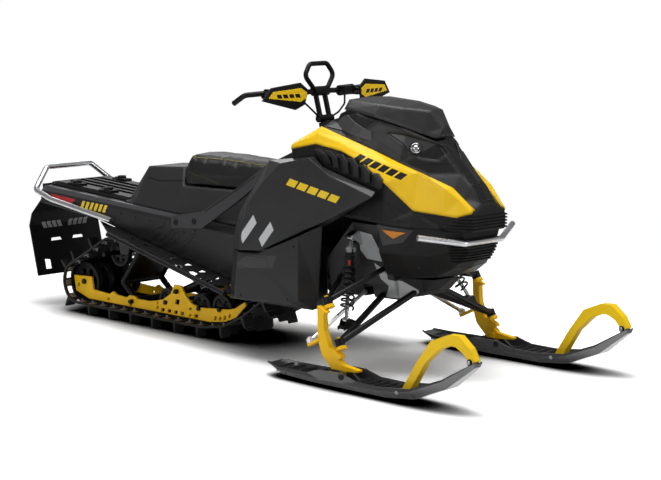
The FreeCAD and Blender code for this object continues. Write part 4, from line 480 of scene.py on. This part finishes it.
hood_black = plastic("black hood plastic", (0.008, 0.008, 0.0085), 0.36, grain=0.1, edge=0.1, crease=0.020,
                     gleam=0.25, lines=hood_seams,
                     tones=[(hood_window, (0.022, 0.022, 0.023), 0.0), (catch_square, SEAM, 0.0)])
dress(hood_black, "hood")
belly_seam = [(0.800, 0.505), (0.960, 0.500), (1.060, 0.545), (1.124, 0.560)]
belly_black = plastic("black belly plastic", (0.004, 0.004, 0.0045), 0.36, grain=0.2, edge=0.1,
                      crease=0.012, gleam=0.22, lines=[(belly_seam, 0.003)])
dress(belly_black, "belly_pan")
black_plastic = plastic("black textured plastic", (0.005, 0.005, 0.0055), 0.46, grain=0.3, size=0.0012,
                        edge=0.12, crease=0.004, gleam=0.22)
dress(black_plastic, "console", "rear_deck", "handguards", "slide_strip", "controls", "grilles",
      "deck_sockets", "gauge", "track_wheels", "running_boards")
louvre_black = plastic("louvre black", (0.018, 0.018, 0.019), 0.34, grain=0.1, edge=0.1, crease=0.004)
dress(louvre_black, "side_vents")
tank_line = [(-0.715, 0.667), (-0.640, 0.657), (-0.437, 0.674)]
tank_black = plastic("black tank plastic", (0.017, 0.017, 0.018), 0.40, grain=0.15, edge=0.3, crease=0.020,
                     lines=[(tank_line, 0.005)])
dress(tank_black, "tank")
# The tips' undersides are painted pale grey: a painted reflection of the floor.
ski_plastic = plastic("slippery ski plastic", (0.034, 0.034, 0.036), 0.22, grain=0.02, coat=1.0, edge=0.2,
                      crease=0.004, tones=[(painted_floor_reflection, (0.16, 0.16, 0.165), 0.0)])
dress(ski_plastic, "ski_left", "ski_right")
visor_black = plastic("satin visor plastic", (0.022, 0.022, 0.023), 0.28, grain=0.03, edge=0.03, crease=0.018)
dress(visor_black, "visor")
gloss_black = plastic("gloss black plastic", (0.006, 0.006, 0.0065), 0.18, coat=0.5, edge=0.08, crease=0.004)
dress(gloss_black, "nose_panels")
lamp_black = plastic("lamp housing black", (0.003, 0.003, 0.0032), 0.30, edge=0.05, crease=0.004)
dress(lamp_black, "headlights", "headlight_lenses")
grey_plastic = plastic("grey inset plastic", (0.030, 0.030, 0.032), 0.40, grain=0.2, edge=0.2, dust=0.03,
                       crease=0.004)
dress(grey_plastic, "body_insets")

# %% [markdown]
# ## Metal
# The casting is bare only low down and beside the nose; behind the shock it is painted black.
# The shocks are bright rods in black bodies.

# %% Painted steel and alloy
black_steel = plastic("black satin paint", (0.003, 0.003, 0.0033), 0.36, grain=0.05, edge=0.1, crease=0.002,
                      gleam=0.22)
dress(black_steel, "upper_arms", "lower_arms", "track_arms", "steering_post", "handlebar", "wheel_shafts",
      "drive_axle", "engine", "front_springs")
brace_line = [(-0.215, 0.570), (0.010, 0.694), (0.100, 0.744)]
brace_paint = plastic("brace paint", (0.032, 0.032, 0.035), 0.34, grain=0.05, edge=0.4, crease=0.003,
                      lines=[(brace_line, 0.007)])
dress(brace_paint, "side_braces")
tunnel_stripe = stripe((-1.09, 0.0, 0.505), (0.999, 0.0, -0.04), 0.19, 0.034, 6.0, 0.62, 0.5)
# A lighter band along the tunnel's upper bevel: a painted highlight of the top light.
tunnel_bevel_painted_highlight = inside((-1.400, 0.600), (-0.420, 0.545), (-0.420, 0.515), (-1.400, 0.563))
slashes = [([(-0.610 + 0.038 * k, 0.431 - 0.014 * k), (-0.508 + 0.029 * k, 0.477 - 0.006 * k)], 0.009)
           for k in range(4)]
tunnel_paint = plastic("black tunnel coat", (0.009, 0.009, 0.010), 0.34, grain=0.05, edge=0.3,
                       crease=0.005, bars=[(tunnel_stripe, YELLOW_FILM)], lines=slashes,
                       tones=[(tunnel_bevel_painted_highlight, (0.040, 0.040, 0.043), 0.0)])
dress(tunnel_paint, "tunnel")
CAST = (0.42, 0.43, 0.44)
bare = [inside((0.641, 0.567), (0.713, 0.558), (0.757, 0.471), (0.746, 0.450), (0.664, 0.453),
               (0.636, 0.486)),
        inside((0.700, 0.440), (0.724, 0.430), (0.760, 0.401), (0.757, 0.350), (0.720, 0.375)),
        inside((0.760, 0.401), (0.809, 0.374), (0.866, 0.370), (0.870, 0.333), (0.850, 0.305),
               (0.757, 0.350)),
        inside((0.757, 0.350), (0.850, 0.305), (0.727, 0.300))]
cast_black = plastic("painted casting", (0.008, 0.008, 0.009), 0.42, grain=0.5, size=0.002, edge=0.3,
                     dust=0.03, tones=[(test, CAST, 0.4) for test in bare])
dress(cast_black, "bulkhead", "keel")
bright_alloy = plastic("bright alloy", (0.76, 0.77, 0.79), 0.30, edge=0.0, metal=1.0, crease=0.0008)
dress(bright_alloy, "front_bumper", "grab_bar", "tie_rod_left", "tie_rod_right", "ski_runner_left",
      "ski_runner_right")
shock_body = inside((0.400, 0.490), (0.900, 0.490), (0.900, 0.352), (0.400, 0.352))
shock_metal = plastic("shock body", (0.62, 0.63, 0.65), 0.22, grain=0.03, edge=0.1, metal=1.0,
                      tones=[(shock_body, (0.010, 0.010, 0.011), 0.0)])
dress(shock_metal, "front_shocks", "track_shocks")

# %% [markdown]
# Rubber throws back next to nothing.  Reflectors are coloured plastic with a thin clear coat.

# %% Rubber and lenses
track_rubber = plastic("track rubber", (0.006, 0.006, 0.0065), 0.58, grain=0.4, size=0.003, edge=0.2,
                       dust=0.04, crease=0.002)
dress(track_rubber, "track")
flap_stripe = stripe((0.0, 0.015, 0.362), (0.0, 1.0, 0.0), 0.12, 0.030, 4.0, 0.75, 0.4)
flap_rubber = plastic("flap rubber", (0.002, 0.002, 0.0022), 0.52, grain=0.3, size=0.002, edge=0.2,
                      crease=0.003, gleam=0.22, bars=[(flap_stripe, (0.30, 0.30, 0.31))])
dress(flap_rubber, "snow_flap")
grip_rubber = plastic("grip rubber", (0.003, 0.003, 0.0033), 0.52, grain=0.5, size=0.0015, edge=0.05,
                      gleam=0.2)
dress(grip_rubber, "grips", "strap_loop", "bar_cables")
orange_lens = plastic("orange reflector", (0.62, 0.20, 0.006), 0.35, coat=0.1, edge=0.0)
dress(orange_lens, "front_reflectors")
red_lens = plastic("red reflector", (0.42, 0.012, 0.012), 0.3, coat=0.3, edge=0.0)
dress(red_lens, "rear_reflectors")
lamp_chrome = plastic("lamp chrome", (0.60, 0.61, 0.63), 0.15, coat=0.5, edge=0.0, metal=1.0)
red_paint = plastic("red anodised alloy", (0.55, 0.02, 0.015), 0.3, edge=0.0, metal=0.3)

# %% [markdown]
# ## Shapes as grids of points
# `grid_faces` numbers the quads of a grid; `revolve` turns a profile about an axis, `sweep`
# carries a ring along a route, and `stamp` sets copies of a small shape at many places.
# Each works on whole arrays, and each piece is closed before it gets a material and a body
# to ride on.


# %% Grid tools
def grid_faces(rows, columns, wrap=True):
    """Quads of a grid of points, row by row; wrap joins the last column to the first."""
    i, j = np.meshgrid(np.arange(rows - 1), np.arange(columns if wrap else columns - 1), indexing="ij")
    k = (j + 1) % columns
    here, above = i * columns, (i + 1) * columns
    return np.stack([here + j, here + k, above + k, above + j], -1).reshape(-1, 4)


def revolve(profile, count=16):
    """Points and faces of a profile of (radius, height) turned about +Z; ends at radius 0 close it.

    x = radius cos(angle), y = radius sin(angle), z = height.
    """
    profile = np.asarray(profile, float)
    angle = np.arange(count) * tau / count
    ring = np.stack([np.cos(angle), np.sin(angle)], -1)
    flat = profile[:, None, :1] * ring[None]
    high = np.broadcast_to(profile[:, None, 1:], flat.shape[:2] + (1,))
    return np.concatenate([flat, high], -1).reshape(-1, 3), grid_faces(len(profile), count)


def sweep(route, radius, sides=8, up=(0.0, 0.0, 1.0)):
    """A round cord along an open route: a ring square to the route stands at each of its points.

    ring point = route point + radius (across cos(angle) + over sin(angle)).
    """
    route = np.asarray(route, float)
    ahead = np.roll(route, -1, 0) - np.roll(route, 1, 0)
    ahead[0], ahead[-1] = route[1] - route[0], route[-1] - route[-2]
    ahead /= np.linalg.norm(ahead, axis=1, keepdims=True)
    across = np.cross(ahead, np.asarray(up, float))
    across /= np.linalg.norm(across, axis=1, keepdims=True)
    over = np.cross(across, ahead)
    angle = np.arange(sides) * tau / sides
    ring = across[:, None] * np.cos(angle)[None, :, None] + over[:, None] * np.sin(angle)[None, :, None]
    points = route[:, None] + ring * radius
    points = np.concatenate([route[:1, None].repeat(sides, 1), points, route[-1:, None].repeat(sides, 1)])
    return points.reshape(-1, 3), grid_faces(len(points), sides)


def slab(bottom, top, low, high):
    """A block with sloping sides: its bottom is (x, y) wide at height low, its top at height high."""
    corner = np.array([(-0.5, -0.5), (0.5, -0.5), (0.5, 0.5), (-0.5, 0.5)])
    ends = ((bottom, low), (top, high))
    points = np.concatenate([np.column_stack([corner * size, np.full(4, z)]) for size, z in ends])
    quads = [(3, 2, 1, 0), (4, 5, 6, 7), (0, 1, 5, 4), (1, 2, 6, 5), (2, 3, 7, 6), (3, 0, 4, 7)]
    return points, np.array(quads)


def turned(directions):
    """One turning matrix for each direction, with that direction as its third column."""
    d = np.asarray(directions, float)
    d = d / np.linalg.norm(d, axis=1, keepdims=True)
    helper = np.where(np.abs(d[:, 2:]) < 0.9, [[0.0, 0.0, 1.0]], [[1.0, 0.0, 0.0]])
    x = np.cross(helper, d)
    x /= np.linalg.norm(x, axis=1, keepdims=True)
    return np.stack([x, np.cross(d, x), d], -1)


def stamp(shape, places, directions):
    """Copies of a shape at many places, its +Z along each place's direction."""
    points, faces = shape
    places = np.asarray(places, float)
    copies = np.einsum("nij,mj->nmi", turned(directions), points) + places[:, None]
    numbers = faces[None] + (np.arange(len(places)) * len(points))[:, None, None]
    return copies.reshape(-1, 3), numbers.reshape(-1, faces.shape[1])


def together(*shapes):
    """Several shapes as one."""
    starts = np.cumsum([0] + [len(points) for points, _ in shapes[:-1]])
    return (np.concatenate([points for points, _ in shapes]),
            np.concatenate([faces + start for (_, faces), start in zip(shapes, starts)]))


SHARP = radians(40.0)  # an edge that turns by more stays crisp


def piece(name, shape, material, body):
    """A finished mesh from points and faces: doubles merged, faces outwards, riding on a body."""
    points, faces = shape
    data = bpy.data.meshes.new(name)
    data.from_pydata(points.tolist(), [], faces.tolist())
    work = bmesh.new()
    work.from_mesh(data)
    bmesh.ops.remove_doubles(work, verts=work.verts, dist=1e-6)
    bmesh.ops.recalc_face_normals(work, faces=work.faces)
    work.to_mesh(data)
    work.free()
    data.polygons.foreach_set("use_smooth", [True] * len(data.polygons))
    data.set_sharp_from_angle(angle=SHARP)
    data.materials.append(material)
    made = bpy.data.objects.new(name, data)
    bpy.context.scene.collection.objects.link(made)
    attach(made, body)
    print(name, len(data.polygons), "faces")
    return made


def on_skin(thing, start, aim, lift=0.0):
    """The point where a ray meets a piece, lifted off its skin, and the skin's direction there."""
    found, place, facing, _ = thing.ray_cast(Vector(start), Vector(aim))
    if not found:
        raise ValueError("%s has no skin seen from %s" % (thing.name, start))
    return place + facing * lift, facing


def on_side(thing, x, z, lift=0.0, side=-1.0):
    """The point of a piece's outer side skin at (x, z), seen from the right (-1) or the left (1)."""
    return on_skin(thing, (x, side, z), (0.0, -side, 0.0), lift)


def skin_route(thing, points, lift=0.0, side=1.0):
    """A route over a piece's side skin through (x, z) points."""
    return np.array([on_side(thing, x, z, lift, side)[0] for x, z in points])


# %% [markdown]
# ## Bolts, nuts and rivets
# A hexagon head is a profile turned with six sides; a rivet is a low dome.  Where they sit is
# read from the frame: the ray from the side finds the skin, and its direction sets the head.

# %% Fixings
DOME = revolve([(0.0, 0.0), (0.006, 0.0), (0.0055, 0.0012), (0.0035, 0.0024), (0.0, 0.0029)], 12)
BUTTON = revolve([(0.0, 0.0), (0.013, 0.0), (0.013, 0.003), (0.010, 0.006), (0.005, 0.006), (0.004, 0.003),
                  (0.0, 0.003)], 20)
ROUND = revolve([(0.0, -0.002), (0.008, -0.002), (0.008, 0.002), (0.006, 0.005), (0.0, 0.006)], 16)
HEX = revolve([(0.0, 0.0), (0.012, 0.0), (0.012, 0.0015), (0.0095, 0.0016), (0.0095, 0.008),
               (0.008, 0.0095), (0.0, 0.0095)], 6)
zinc = plastic("zinc plated steel", (0.45, 0.45, 0.46), 0.3, edge=0.1, metal=1.0, crease=0.001)
black_zinc = plastic("black fixings", (0.012, 0.012, 0.013), 0.35, edge=0.2, metal=0.5, crease=0.001)


def fixings(name, shape, node, spots, material, body="chassis", lift=0.0):
    """One kind of fixing on a node's side skin at (x, z) spots, on both sides."""
    found = [on_side(nodes[node], x, z, lift, side) for x, z in spots for side in SIDES]
    return piece(name, stamp(shape, *zip(*found)), material, body)


fixings("brace_bolts", BUTTON, "side_braces", [(-0.410, 0.505), (-0.290, 0.520)], black_zinc)
low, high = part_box("tunnel")
print("tunnel", round(high[0] - low[0], 3), "m long")
upper_row = [(x, np.interp(x, [-1.384, 0.10], [0.537, 0.455])) for x in np.linspace(-0.90, -0.30, 7)]
lower_row = [(x, np.interp(x, [-0.94, -0.476, 0.10], [0.475, 0.385, 0.262]))
             for x in np.linspace(-0.86, 0.05, 12)]
fixings("tunnel_rivets", DOME, "tunnel", upper_row + lower_row, black_zinc)
fixings("panel_clips", DOME, "lower_side_panels", [(0.150, 0.270), (0.420, 0.285), (0.455, 0.500)],
        black_zinc)
fixings("belly_clips", DOME, "belly_pan", [(0.840, 0.455), (0.950, 0.450), (0.850, 0.585)], black_zinc)
fixings("arm_bolts", HEX, "track_arms", [(-0.515, 0.176), (-0.828, 0.092)], black_zinc)
for hand in HANDS:
    fixings("ski_bolts_" + hand, ROUND, "ski_" + hand, [(1.170, 0.045)], zinc, body="ski_" + hand)

# %% [markdown]
# ## The padded cover
# The seat is foam under a stretched vinyl cover.  A copy of the plain solid is remeshed in
# small even squares, set a little inside, and blown up like a cushion by cloth simulation;
# how far a point may move is capped, so that the edges stay where they are sewn.  The cover's
# flanks are painted darker than its top: painted shade.


# %% Blow up the seat
SQUARE = 0.006  # the side of the even squares
INSET, CAP = 0.006, 0.008  # how far inside the solid it starts, and how far it may swell from there
PRESSURE = 4.0
CLOTH_FRAMES = 20


def blown(name, source):
    """A padded copy of a solid: remeshed, set inside by INSET, swollen by pressure by CAP at most."""
    data = source.data.copy()
    work = bmesh.new()
    work.from_mesh(data)
    bmesh.ops.remove_doubles(work, verts=work.verts, dist=1e-5)
    work.to_mesh(data)
    work.free()
    made = bpy.data.objects.new(name, data)
    bpy.context.scene.collection.objects.link(made)
    remesh = made.modifiers.new("even squares", "REMESH")
    remesh.mode, remesh.voxel_size = "VOXEL", SQUARE
    made.data = bpy.data.meshes.new_from_object(made.evaluated_get(bpy.context.evaluated_depsgraph_get()))
    made.modifiers.clear()
    start, facing = (np.empty(len(made.data.vertices) * 3) for _ in range(2))
    made.data.vertices.foreach_get("co", start)
    made.data.vertices.foreach_get("normal", facing)
    start -= INSET * facing
    made.data.vertices.foreach_set("co", start)
    cloth = made.modifiers.new("cover", "CLOTH")
    cloth.settings.use_pressure = True
    cloth.settings.uniform_pressure_force = PRESSURE
    cloth.settings.effector_weights.gravity = 0.0
    for frame_number in range(1, CLOTH_FRAMES + 1):
        bpy.context.scene.frame_set(frame_number)
    swollen = made.evaluated_get(bpy.context.evaluated_depsgraph_get()).data
    end = np.empty_like(start)
    swollen.vertices.foreach_get("co", end)
    made.modifiers.clear()
    bpy.context.scene.frame_set(1)
    move = (end - start).reshape(-1, 3)
    size = np.linalg.norm(move, axis=1, keepdims=True)
    print(name, "swells by up to", round(size.max() * MM, 1), "mm, capped at", CAP * MM)
    start += (move * np.minimum(1.0, CAP / np.maximum(size, 1e-9))).ravel()
    made.data.vertices.foreach_set("co", start)
    made.data.update()
    return made


# The flanks get a darker tone by the way they face: painted shade.
vinyl = plastic("seat vinyl", (0.018, 0.018, 0.0185), 0.50, grain=0.5, size=0.0012, edge=0.0, crease=0.002,
                tones=[(flank_painted_shade, (0.0045, 0.0045, 0.005), 0.0)])
cover = blown("seat_cover", nodes["seat"])
cover.data.materials.clear()
cover.data.materials.append(vinyl)
cover.data.polygons.foreach_set("use_smooth", [True] * len(cover.data.polygons))
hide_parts("seat")
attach(cover, "chassis")
print("seat cover", len(cover.data.polygons), "faces")

# %% [markdown]
# Along the cover's upper edge runs a thin yellow piping, and one seam crosses each flank.
# Both are laid on the cover first; then the cover is made smoother by one round of halving.

# %% Piping and seams
piping = plastic("yellow piping", (0.19, 0.16, 0.012), 0.5, edge=0.0, crease=0.001)
thread = plastic("brown thread", (0.10, 0.07, 0.02), 0.6, edge=0.0, crease=0.001)
edge_line = [(x, np.interp(x, [-0.455, -0.250, 0.0, 0.060], [0.775, 0.776, 0.768, 0.774]))
             for x in np.linspace(-0.450, 0.050, 26)]
seam_line = [(x, np.interp(x, [-0.446, -0.257], [0.712, 0.674])) for x in np.linspace(-0.446, -0.257, 12)]
for name, route, radius, cord in (("seat_piping", edge_line, 0.0016, piping),
                                  ("seat_seam", seam_line, 0.0009, thread)):
    cords = [sweep(skin_route(cover, route, 0.0, side), radius) for side in SIDES]
    piece(name, together(*cords), cord, "chassis")
softer = cover.modifiers.new("softer", "SUBSURF")
softer.levels = softer.render_levels = 1

# %% [markdown]
# ## Lamps
# Each lamp is a dark housing with a projector in it: a bright ring round a dome, both of
# chrome.  The ray along the lamp's aim finds the housing's face.

# %% Projectors
LENS_DOME = revolve([(0.0, 0.0070), (0.006, 0.0063), (0.0105, 0.0042), (0.0135, 0.0010), (0.0140, -0.0020),
                     (0.0, -0.0020)], 24)
BEZEL = revolve([(0.0150, -0.002), (0.0150, 0.003), (0.0170, 0.005), (0.0205, 0.004), (0.0225, -0.002),
                 (0.0150, -0.002)], 32)
LAMP, LAMP_AIM = (0.880, 0.108, 0.908), (0.72, 0.62, 0.31)  # the left lamp; the right one is its mirror image
AHEAD = 0.2  # how far before the lamp the ray starts
aims = [Vector((LAMP_AIM[0], LAMP_AIM[1] * side, LAMP_AIM[2])).normalized() for side in SIDES]
starts = [Vector((LAMP[0], LAMP[1] * side, LAMP[2])) + aim * AHEAD for side, aim in zip(SIDES, aims)]
lamp_seats = [on_skin(nodes["headlight_lenses"], start, -aim)[0] for start, aim in zip(starts, aims)]
piece("lamp_domes", stamp(LENS_DOME, lamp_seats, aims), lamp_chrome, "chassis")
piece("lamp_bezels", stamp(BEZEL, lamp_seats, aims), lamp_chrome, "chassis")

# %% [markdown]
# ## Shocks
# Two clamps hold the adjuster's housing, a red knob looks out of it, and a bright cap closes
# the top.

# %% Adjusters and caps
RING = revolve([(0.0190, -0.004), (0.0218, -0.004), (0.0218, 0.004), (0.0190, 0.004), (0.0190, -0.004)], 24)
SHOCK_TOP, SHOCK_FOOT = np.array([0.632, 0.217, 0.540]), np.array([0.752, 0.366, 0.243])
CLAMPS, ADJUSTER, TOP_CAP = (0.255, 0.375), 0.315, 0.14  # shares of the way from top to foot
MIRRORS = [np.array([1.0, side, 1.0]) for side in (1.0, -1.0)]
shocks = [(SHOCK_TOP * mirror, (SHOCK_FOOT - SHOCK_TOP) * mirror) for mirror in MIRRORS]
rings = [(top + run * share, run) for top, run in shocks for share in CLAMPS]
piece("shock_clamps", stamp(RING, *zip(*rings)), black_zinc, "chassis")
knobs = [(top + run * ADJUSTER + np.array([0.014, 0.0155, 0.002]) * mirror,
          np.array([0.67, 0.74, 0.1]) * mirror)
         for (top, run), mirror in zip(shocks, MIRRORS)]
piece("shock_adjusters", stamp(slab((0.010, 0.028), (0.008, 0.026), 0.0, 0.006), *zip(*knobs)), red_paint,
      "chassis")
caps = [(top + run * TOP_CAP, run) for top, run in shocks]
piece("shock_caps", stamp(RING, *zip(*caps)), zinc, "chassis")

# %% [markdown]
# ## Bosses on the skis
# The yellow loop is bolted through a boss at its front end, and each ski's pivot has a boss
# on both sides.

# %% Loop bolts and pivot bosses
for hand in HANDS:
    ski, loop = "ski_" + hand, "ski_loop_" + hand
    fixings("loop_bosses_" + hand, BUTTON, loop, [(1.480, 0.196)], black_zinc, body=ski)
    fixings("loop_bolts_" + hand, ROUND, loop, [(1.480, 0.196)], zinc, body=ski, lift=0.003)
    fixings("pivot_bosses_" + hand, BUTTON, ski, [(0.880, 0.060)], black_zinc, body=ski)

# %% [markdown]
# ## Track clips
# A steel clip is pressed round the belt between each pair of windows, with a fin that guides
# the belt along the slide.  The belt's middle line is straight between four wheels and bent
# round each: where a tangent touches two circles follows from how their radii differ.


# %% Clips round the belt
def belt_route(circles, step=0.002):
    """Points round the belt and its direction at each, evenly spaced.

    A tangent leans from the line of centres by arcsin((first radius - next radius) / distance).
    """
    c = np.asarray(circles)
    away = np.roll(c, -1, 0)[:, :2] - c[:, :2]
    lean = np.arcsin((c[:, 2] - np.roll(c[:, 2], -1)) / np.hypot(*away.T))
    leave = np.arctan2(away[:, 1], away[:, 0]) - pi / 2 + lean
    arrive = np.roll(leave, 1)
    leave = arrive + (leave - arrive) % tau
    angle = arrive[:, None] + (leave - arrive)[:, None] * np.linspace(0.0, 1.0, 40)
    line = (c[:, None, :2] + c[:, None, 2:] * np.stack([np.cos(angle), np.sin(angle)], -1)).reshape(-1, 2)
    line = np.concatenate([line, line[:1]])
    passed = np.concatenate([[0.0], np.cumsum(np.hypot(*np.diff(line, axis=0).T))])
    even = np.arange(0.0, passed[-1], step)
    place = np.stack([np.interp(even, passed, line[:, k]) for k in (0, 1)], -1)
    run = np.roll(place, -1, 0) - np.roll(place, 1, 0)
    return place, run / np.hypot(*run.T)[:, None], passed[-1]


WHEELS = ((-1.172, 0.1442, 0.0947), (-0.300, 0.5092, 0.4597), (0.100, 0.343, 0.0977), (-0.930, 0.305, 0.0707))
ROWS = 43  # rows of lugs round the belt
FIRST = 0.49  # where the first clip lies, as a share of a row
CLIP_IN, CLIP_OUT = 0.0044, 0.164  # how far in from the belt's middle line, and out from the machine's middle
belt, heading, belt_length = belt_route(WHEELS)
at = ((np.arange(ROWS) + FIRST) / ROWS * len(belt)).astype(int)
flat = np.zeros(ROWS)
inward = np.column_stack([-heading[at, 1], flat, heading[at, 0]])
seats = np.column_stack([belt[at, 0], flat, belt[at, 1]]) + inward * CLIP_IN
CLIP = together(slab((0.030, 0.026), (0.028, 0.022), 0.0, 0.002),
                slab((0.003, 0.016), (0.002, 0.005), 0.0018, 0.013))
spread = [seats + np.array([0.0, CLIP_OUT * side, 0.0]) for side in SIDES]
clip_steel = plastic("clip steel", (0.22, 0.22, 0.23), 0.4, edge=0.1, metal=0.8, crease=0.0005)
piece("track_clips", stamp(CLIP, np.concatenate(spread), np.concatenate([inward, inward])), clip_steel,
      "chassis")
print("belt length", round(belt_length, 3), "m, pitch", round(belt_length / ROWS * MM, 1), "mm")

# %% [markdown]
# ## Gauge
# The rider reads a flat dark screen.

# %% Screen
middle, upright = on_skin(nodes["gauge"], (0.455, 0.0, 1.5), (0.0, 0.0, -1.0))
screen_glass = plastic("screen glass", (0.004, 0.006, 0.010), 0.10, coat=0.6, edge=0.0, crease=0.0005)
screen = stamp(slab((0.080, 0.062), (0.078, 0.060), -0.001, 0.0015), [middle], [upright])
piece("gauge_screen", screen, screen_glass, "chassis")

# %% [markdown]
# ## Studio
# The camera stands low at the front right corner.  A pale floor keeps the shadow, with a
# painted contact shadow added; further out it turns into the plain white of the background,
# so no horizon is seen.


# %% Camera
def place_camera():
    """The camera looks back along the direction given by its turn and height angles."""
    turn, height = radians(44.75), radians(8.28)
    back = Vector((sin(turn) * cos(height), -cos(turn) * cos(height), sin(height)))
    data = bpy.data.cameras.new("studio camera")
    data.lens = 108.9
    data.sensor_width = 36.0
    data.clip_end = 200.0
    camera = bpy.data.objects.new("studio camera", data)
    bpy.context.scene.collection.objects.link(camera)
    camera.location = (6.112, -5.861, 1.676)
    camera.rotation_euler = (-back).to_track_quat("-Z", "Y").to_euler()
    bpy.context.scene.camera = camera
    print("camera with a lens of", round(data.lens, 1), "mm")


place_camera()


# %% [markdown]
# Four soft boxes light the machine: a big one above it, one on the near side, and two low
# ones in front and behind that draw out the edges.

# %% Soft boxes
def soft_light(name, place, aim, size, power):
    """A rectangle of light at a place, turned to an aim; power is in watts."""
    data = bpy.data.lights.new(name, "AREA")
    data.shape = "RECTANGLE"
    data.size, data.size_y = size
    data.energy = power
    light = bpy.data.objects.new(name, data)
    bpy.context.scene.collection.objects.link(light)
    light.location = place
    light.rotation_euler = (Vector(aim) - Vector(place)).to_track_quat("-Z", "Y").to_euler()


soft_light("top softbox", (0.2, -0.3, 4.2), (0.1, 0.0, 0.5), (4.5, 2.4), 210.0)
soft_light("near softbox", (0.6, -5.5, 2.8), (0.1, 0.0, 0.5), (3.6, 1.2), 70.0)
soft_light("front softbox", (5.5, 1.8, 2.6), (0.6, 0.0, 0.5), (2.0, 1.6), 50.0)
soft_light("rear softbox", (-4.5, 2.5, 3.2), (-0.6, 0.0, 0.5), (2.4, 1.6), 50.0)

# %% [markdown]
# The camera sees a whiter background and floor than the machine does, so that its shadow is
# all that shows of them.  The floor also carries a painted contact shadow, dark where little
# open air is near it, and from below it can be seen through.


# %% Floor and background
def seen_by_camera(tree, plain, seen):
    """One shader for the camera's own rays and another for all the rest."""
    path = tree.nodes.new("ShaderNodeLightPath").outputs
    mix = tree.nodes.new("ShaderNodeMixShader")
    for socket, value in zip(mix.inputs, (path["Is Camera Ray"], plain, seen)):
        tree.links.new(value, socket)
    return mix.outputs[0]


def background():
    """A pale world for the machine, plain white for the camera."""
    world = bpy.data.worlds.new("pale studio")
    bpy.context.scene.world = world
    world.use_nodes = True
    tree = world.node_tree
    tree.nodes.clear()
    plain = add(tree, "ShaderNodeBackground", Color=(1.0, 1.0, 1.0, 1.0), Strength=0.20)
    seen = add(tree, "ShaderNodeBackground", Color=(1.0, 1.0, 1.0, 1.0), Strength=1.0)
    out = tree.nodes.new("ShaderNodeOutputWorld")
    tree.links.new(seen_by_camera(tree, plain.outputs[0], seen.outputs[0]), out.inputs[0])


FLOOR_REACH = 40.0
SHADE_REACH = 0.32  # how near a thing has to be for the floor's painted contact shadow
SHADED, OPEN = 0.42, 0.97  # the share of open air where the painted contact shadow is black and where the floor is fully bright
FULL_BRIGHT = 1.5
FADE = (1.6, 3.4)  # how far out the floor starts to turn plain white and where it is


def floor():
    """A pale floor that keeps the machine's shadow, adds a painted contact shadow, and fades into the
    background.
    """
    data = bpy.data.meshes.new("floor")
    corners = [(FLOOR_REACH * x, FLOOR_REACH * y, 0.0) for x, y in ((-1, -1), (1, -1), (1, 1), (-1, 1))]
    data.from_pydata(corners, [], [(0, 1, 2, 3)])
    ground = bpy.data.objects.new("floor", data)
    bpy.context.scene.collection.objects.link(ground)
    made = bpy.data.materials.new("pale floor")
    made.use_nodes = True
    tree = made.node_tree
    tree.nodes.clear()
    matt = add(tree, "ShaderNodeBsdfDiffuse", Color=(0.80, 0.80, 0.80, 1.0))
    white = add(tree, "ShaderNodeEmission", Color=(1.0, 1.0, 1.0, 1.0), Strength=1.0)
    # Painted contact shadow: the floor is darkened where little open air is near it.
    open_air_painted_shadow = add(tree, "ShaderNodeAmbientOcclusion", {"samples": 12}, Distance=SHADE_REACH).outputs["AO"]
    bright = remap(tree, open_air_painted_shadow, SHADED, OPEN, 0.0, FULL_BRIGHT)
    grey = add(tree, "ShaderNodeCombineColor", i0=bright, i1=bright, i2=bright).outputs[0]
    lifted = add(tree, "ShaderNodeBsdfDiffuse", Color=grey)
    away = add(tree, "ShaderNodeVectorMath", {"operation": "LENGTH"}, i0=point_place(tree)).outputs["Value"]
    fade = add(tree, "ShaderNodeMixShader", i0=remap(tree, away, *FADE), i1=lifted.outputs[0],
               i2=white.outputs[0])
    below = tree.nodes.new("ShaderNodeNewGeometry").outputs["Backfacing"]
    clear = tree.nodes.new("ShaderNodeBsdfTransparent").outputs[0]
    seen = add(tree, "ShaderNodeMixShader", i0=below, i1=fade.outputs[0], i2=clear)
    out = tree.nodes.new("ShaderNodeOutputMaterial")
    tree.links.new(seen_by_camera(tree, matt.outputs[0], seen.outputs[0]), out.inputs[0])
    data.materials.append(made)
    ground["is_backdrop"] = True
    print("floor", 2.0 * FLOOR_REACH, "m wide")


background()
floor()
bpy.context.scene.view_settings.view_transform = "Standard"

# %% [markdown]
# ## Measure and finish
# The frame's box and the dressed machine's box are set against each other, and how far the
# dressed one grew is printed, so that a piece that stands too proud is noticed at once.

# %% Sizes
dressed_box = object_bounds()
grown = [abs(a - b) * MM for p, q in zip(solid_box, dressed_box) for a, b in zip(p, q)]
print("box grew by", [round(reach, 1) for reach in grown], "mm")
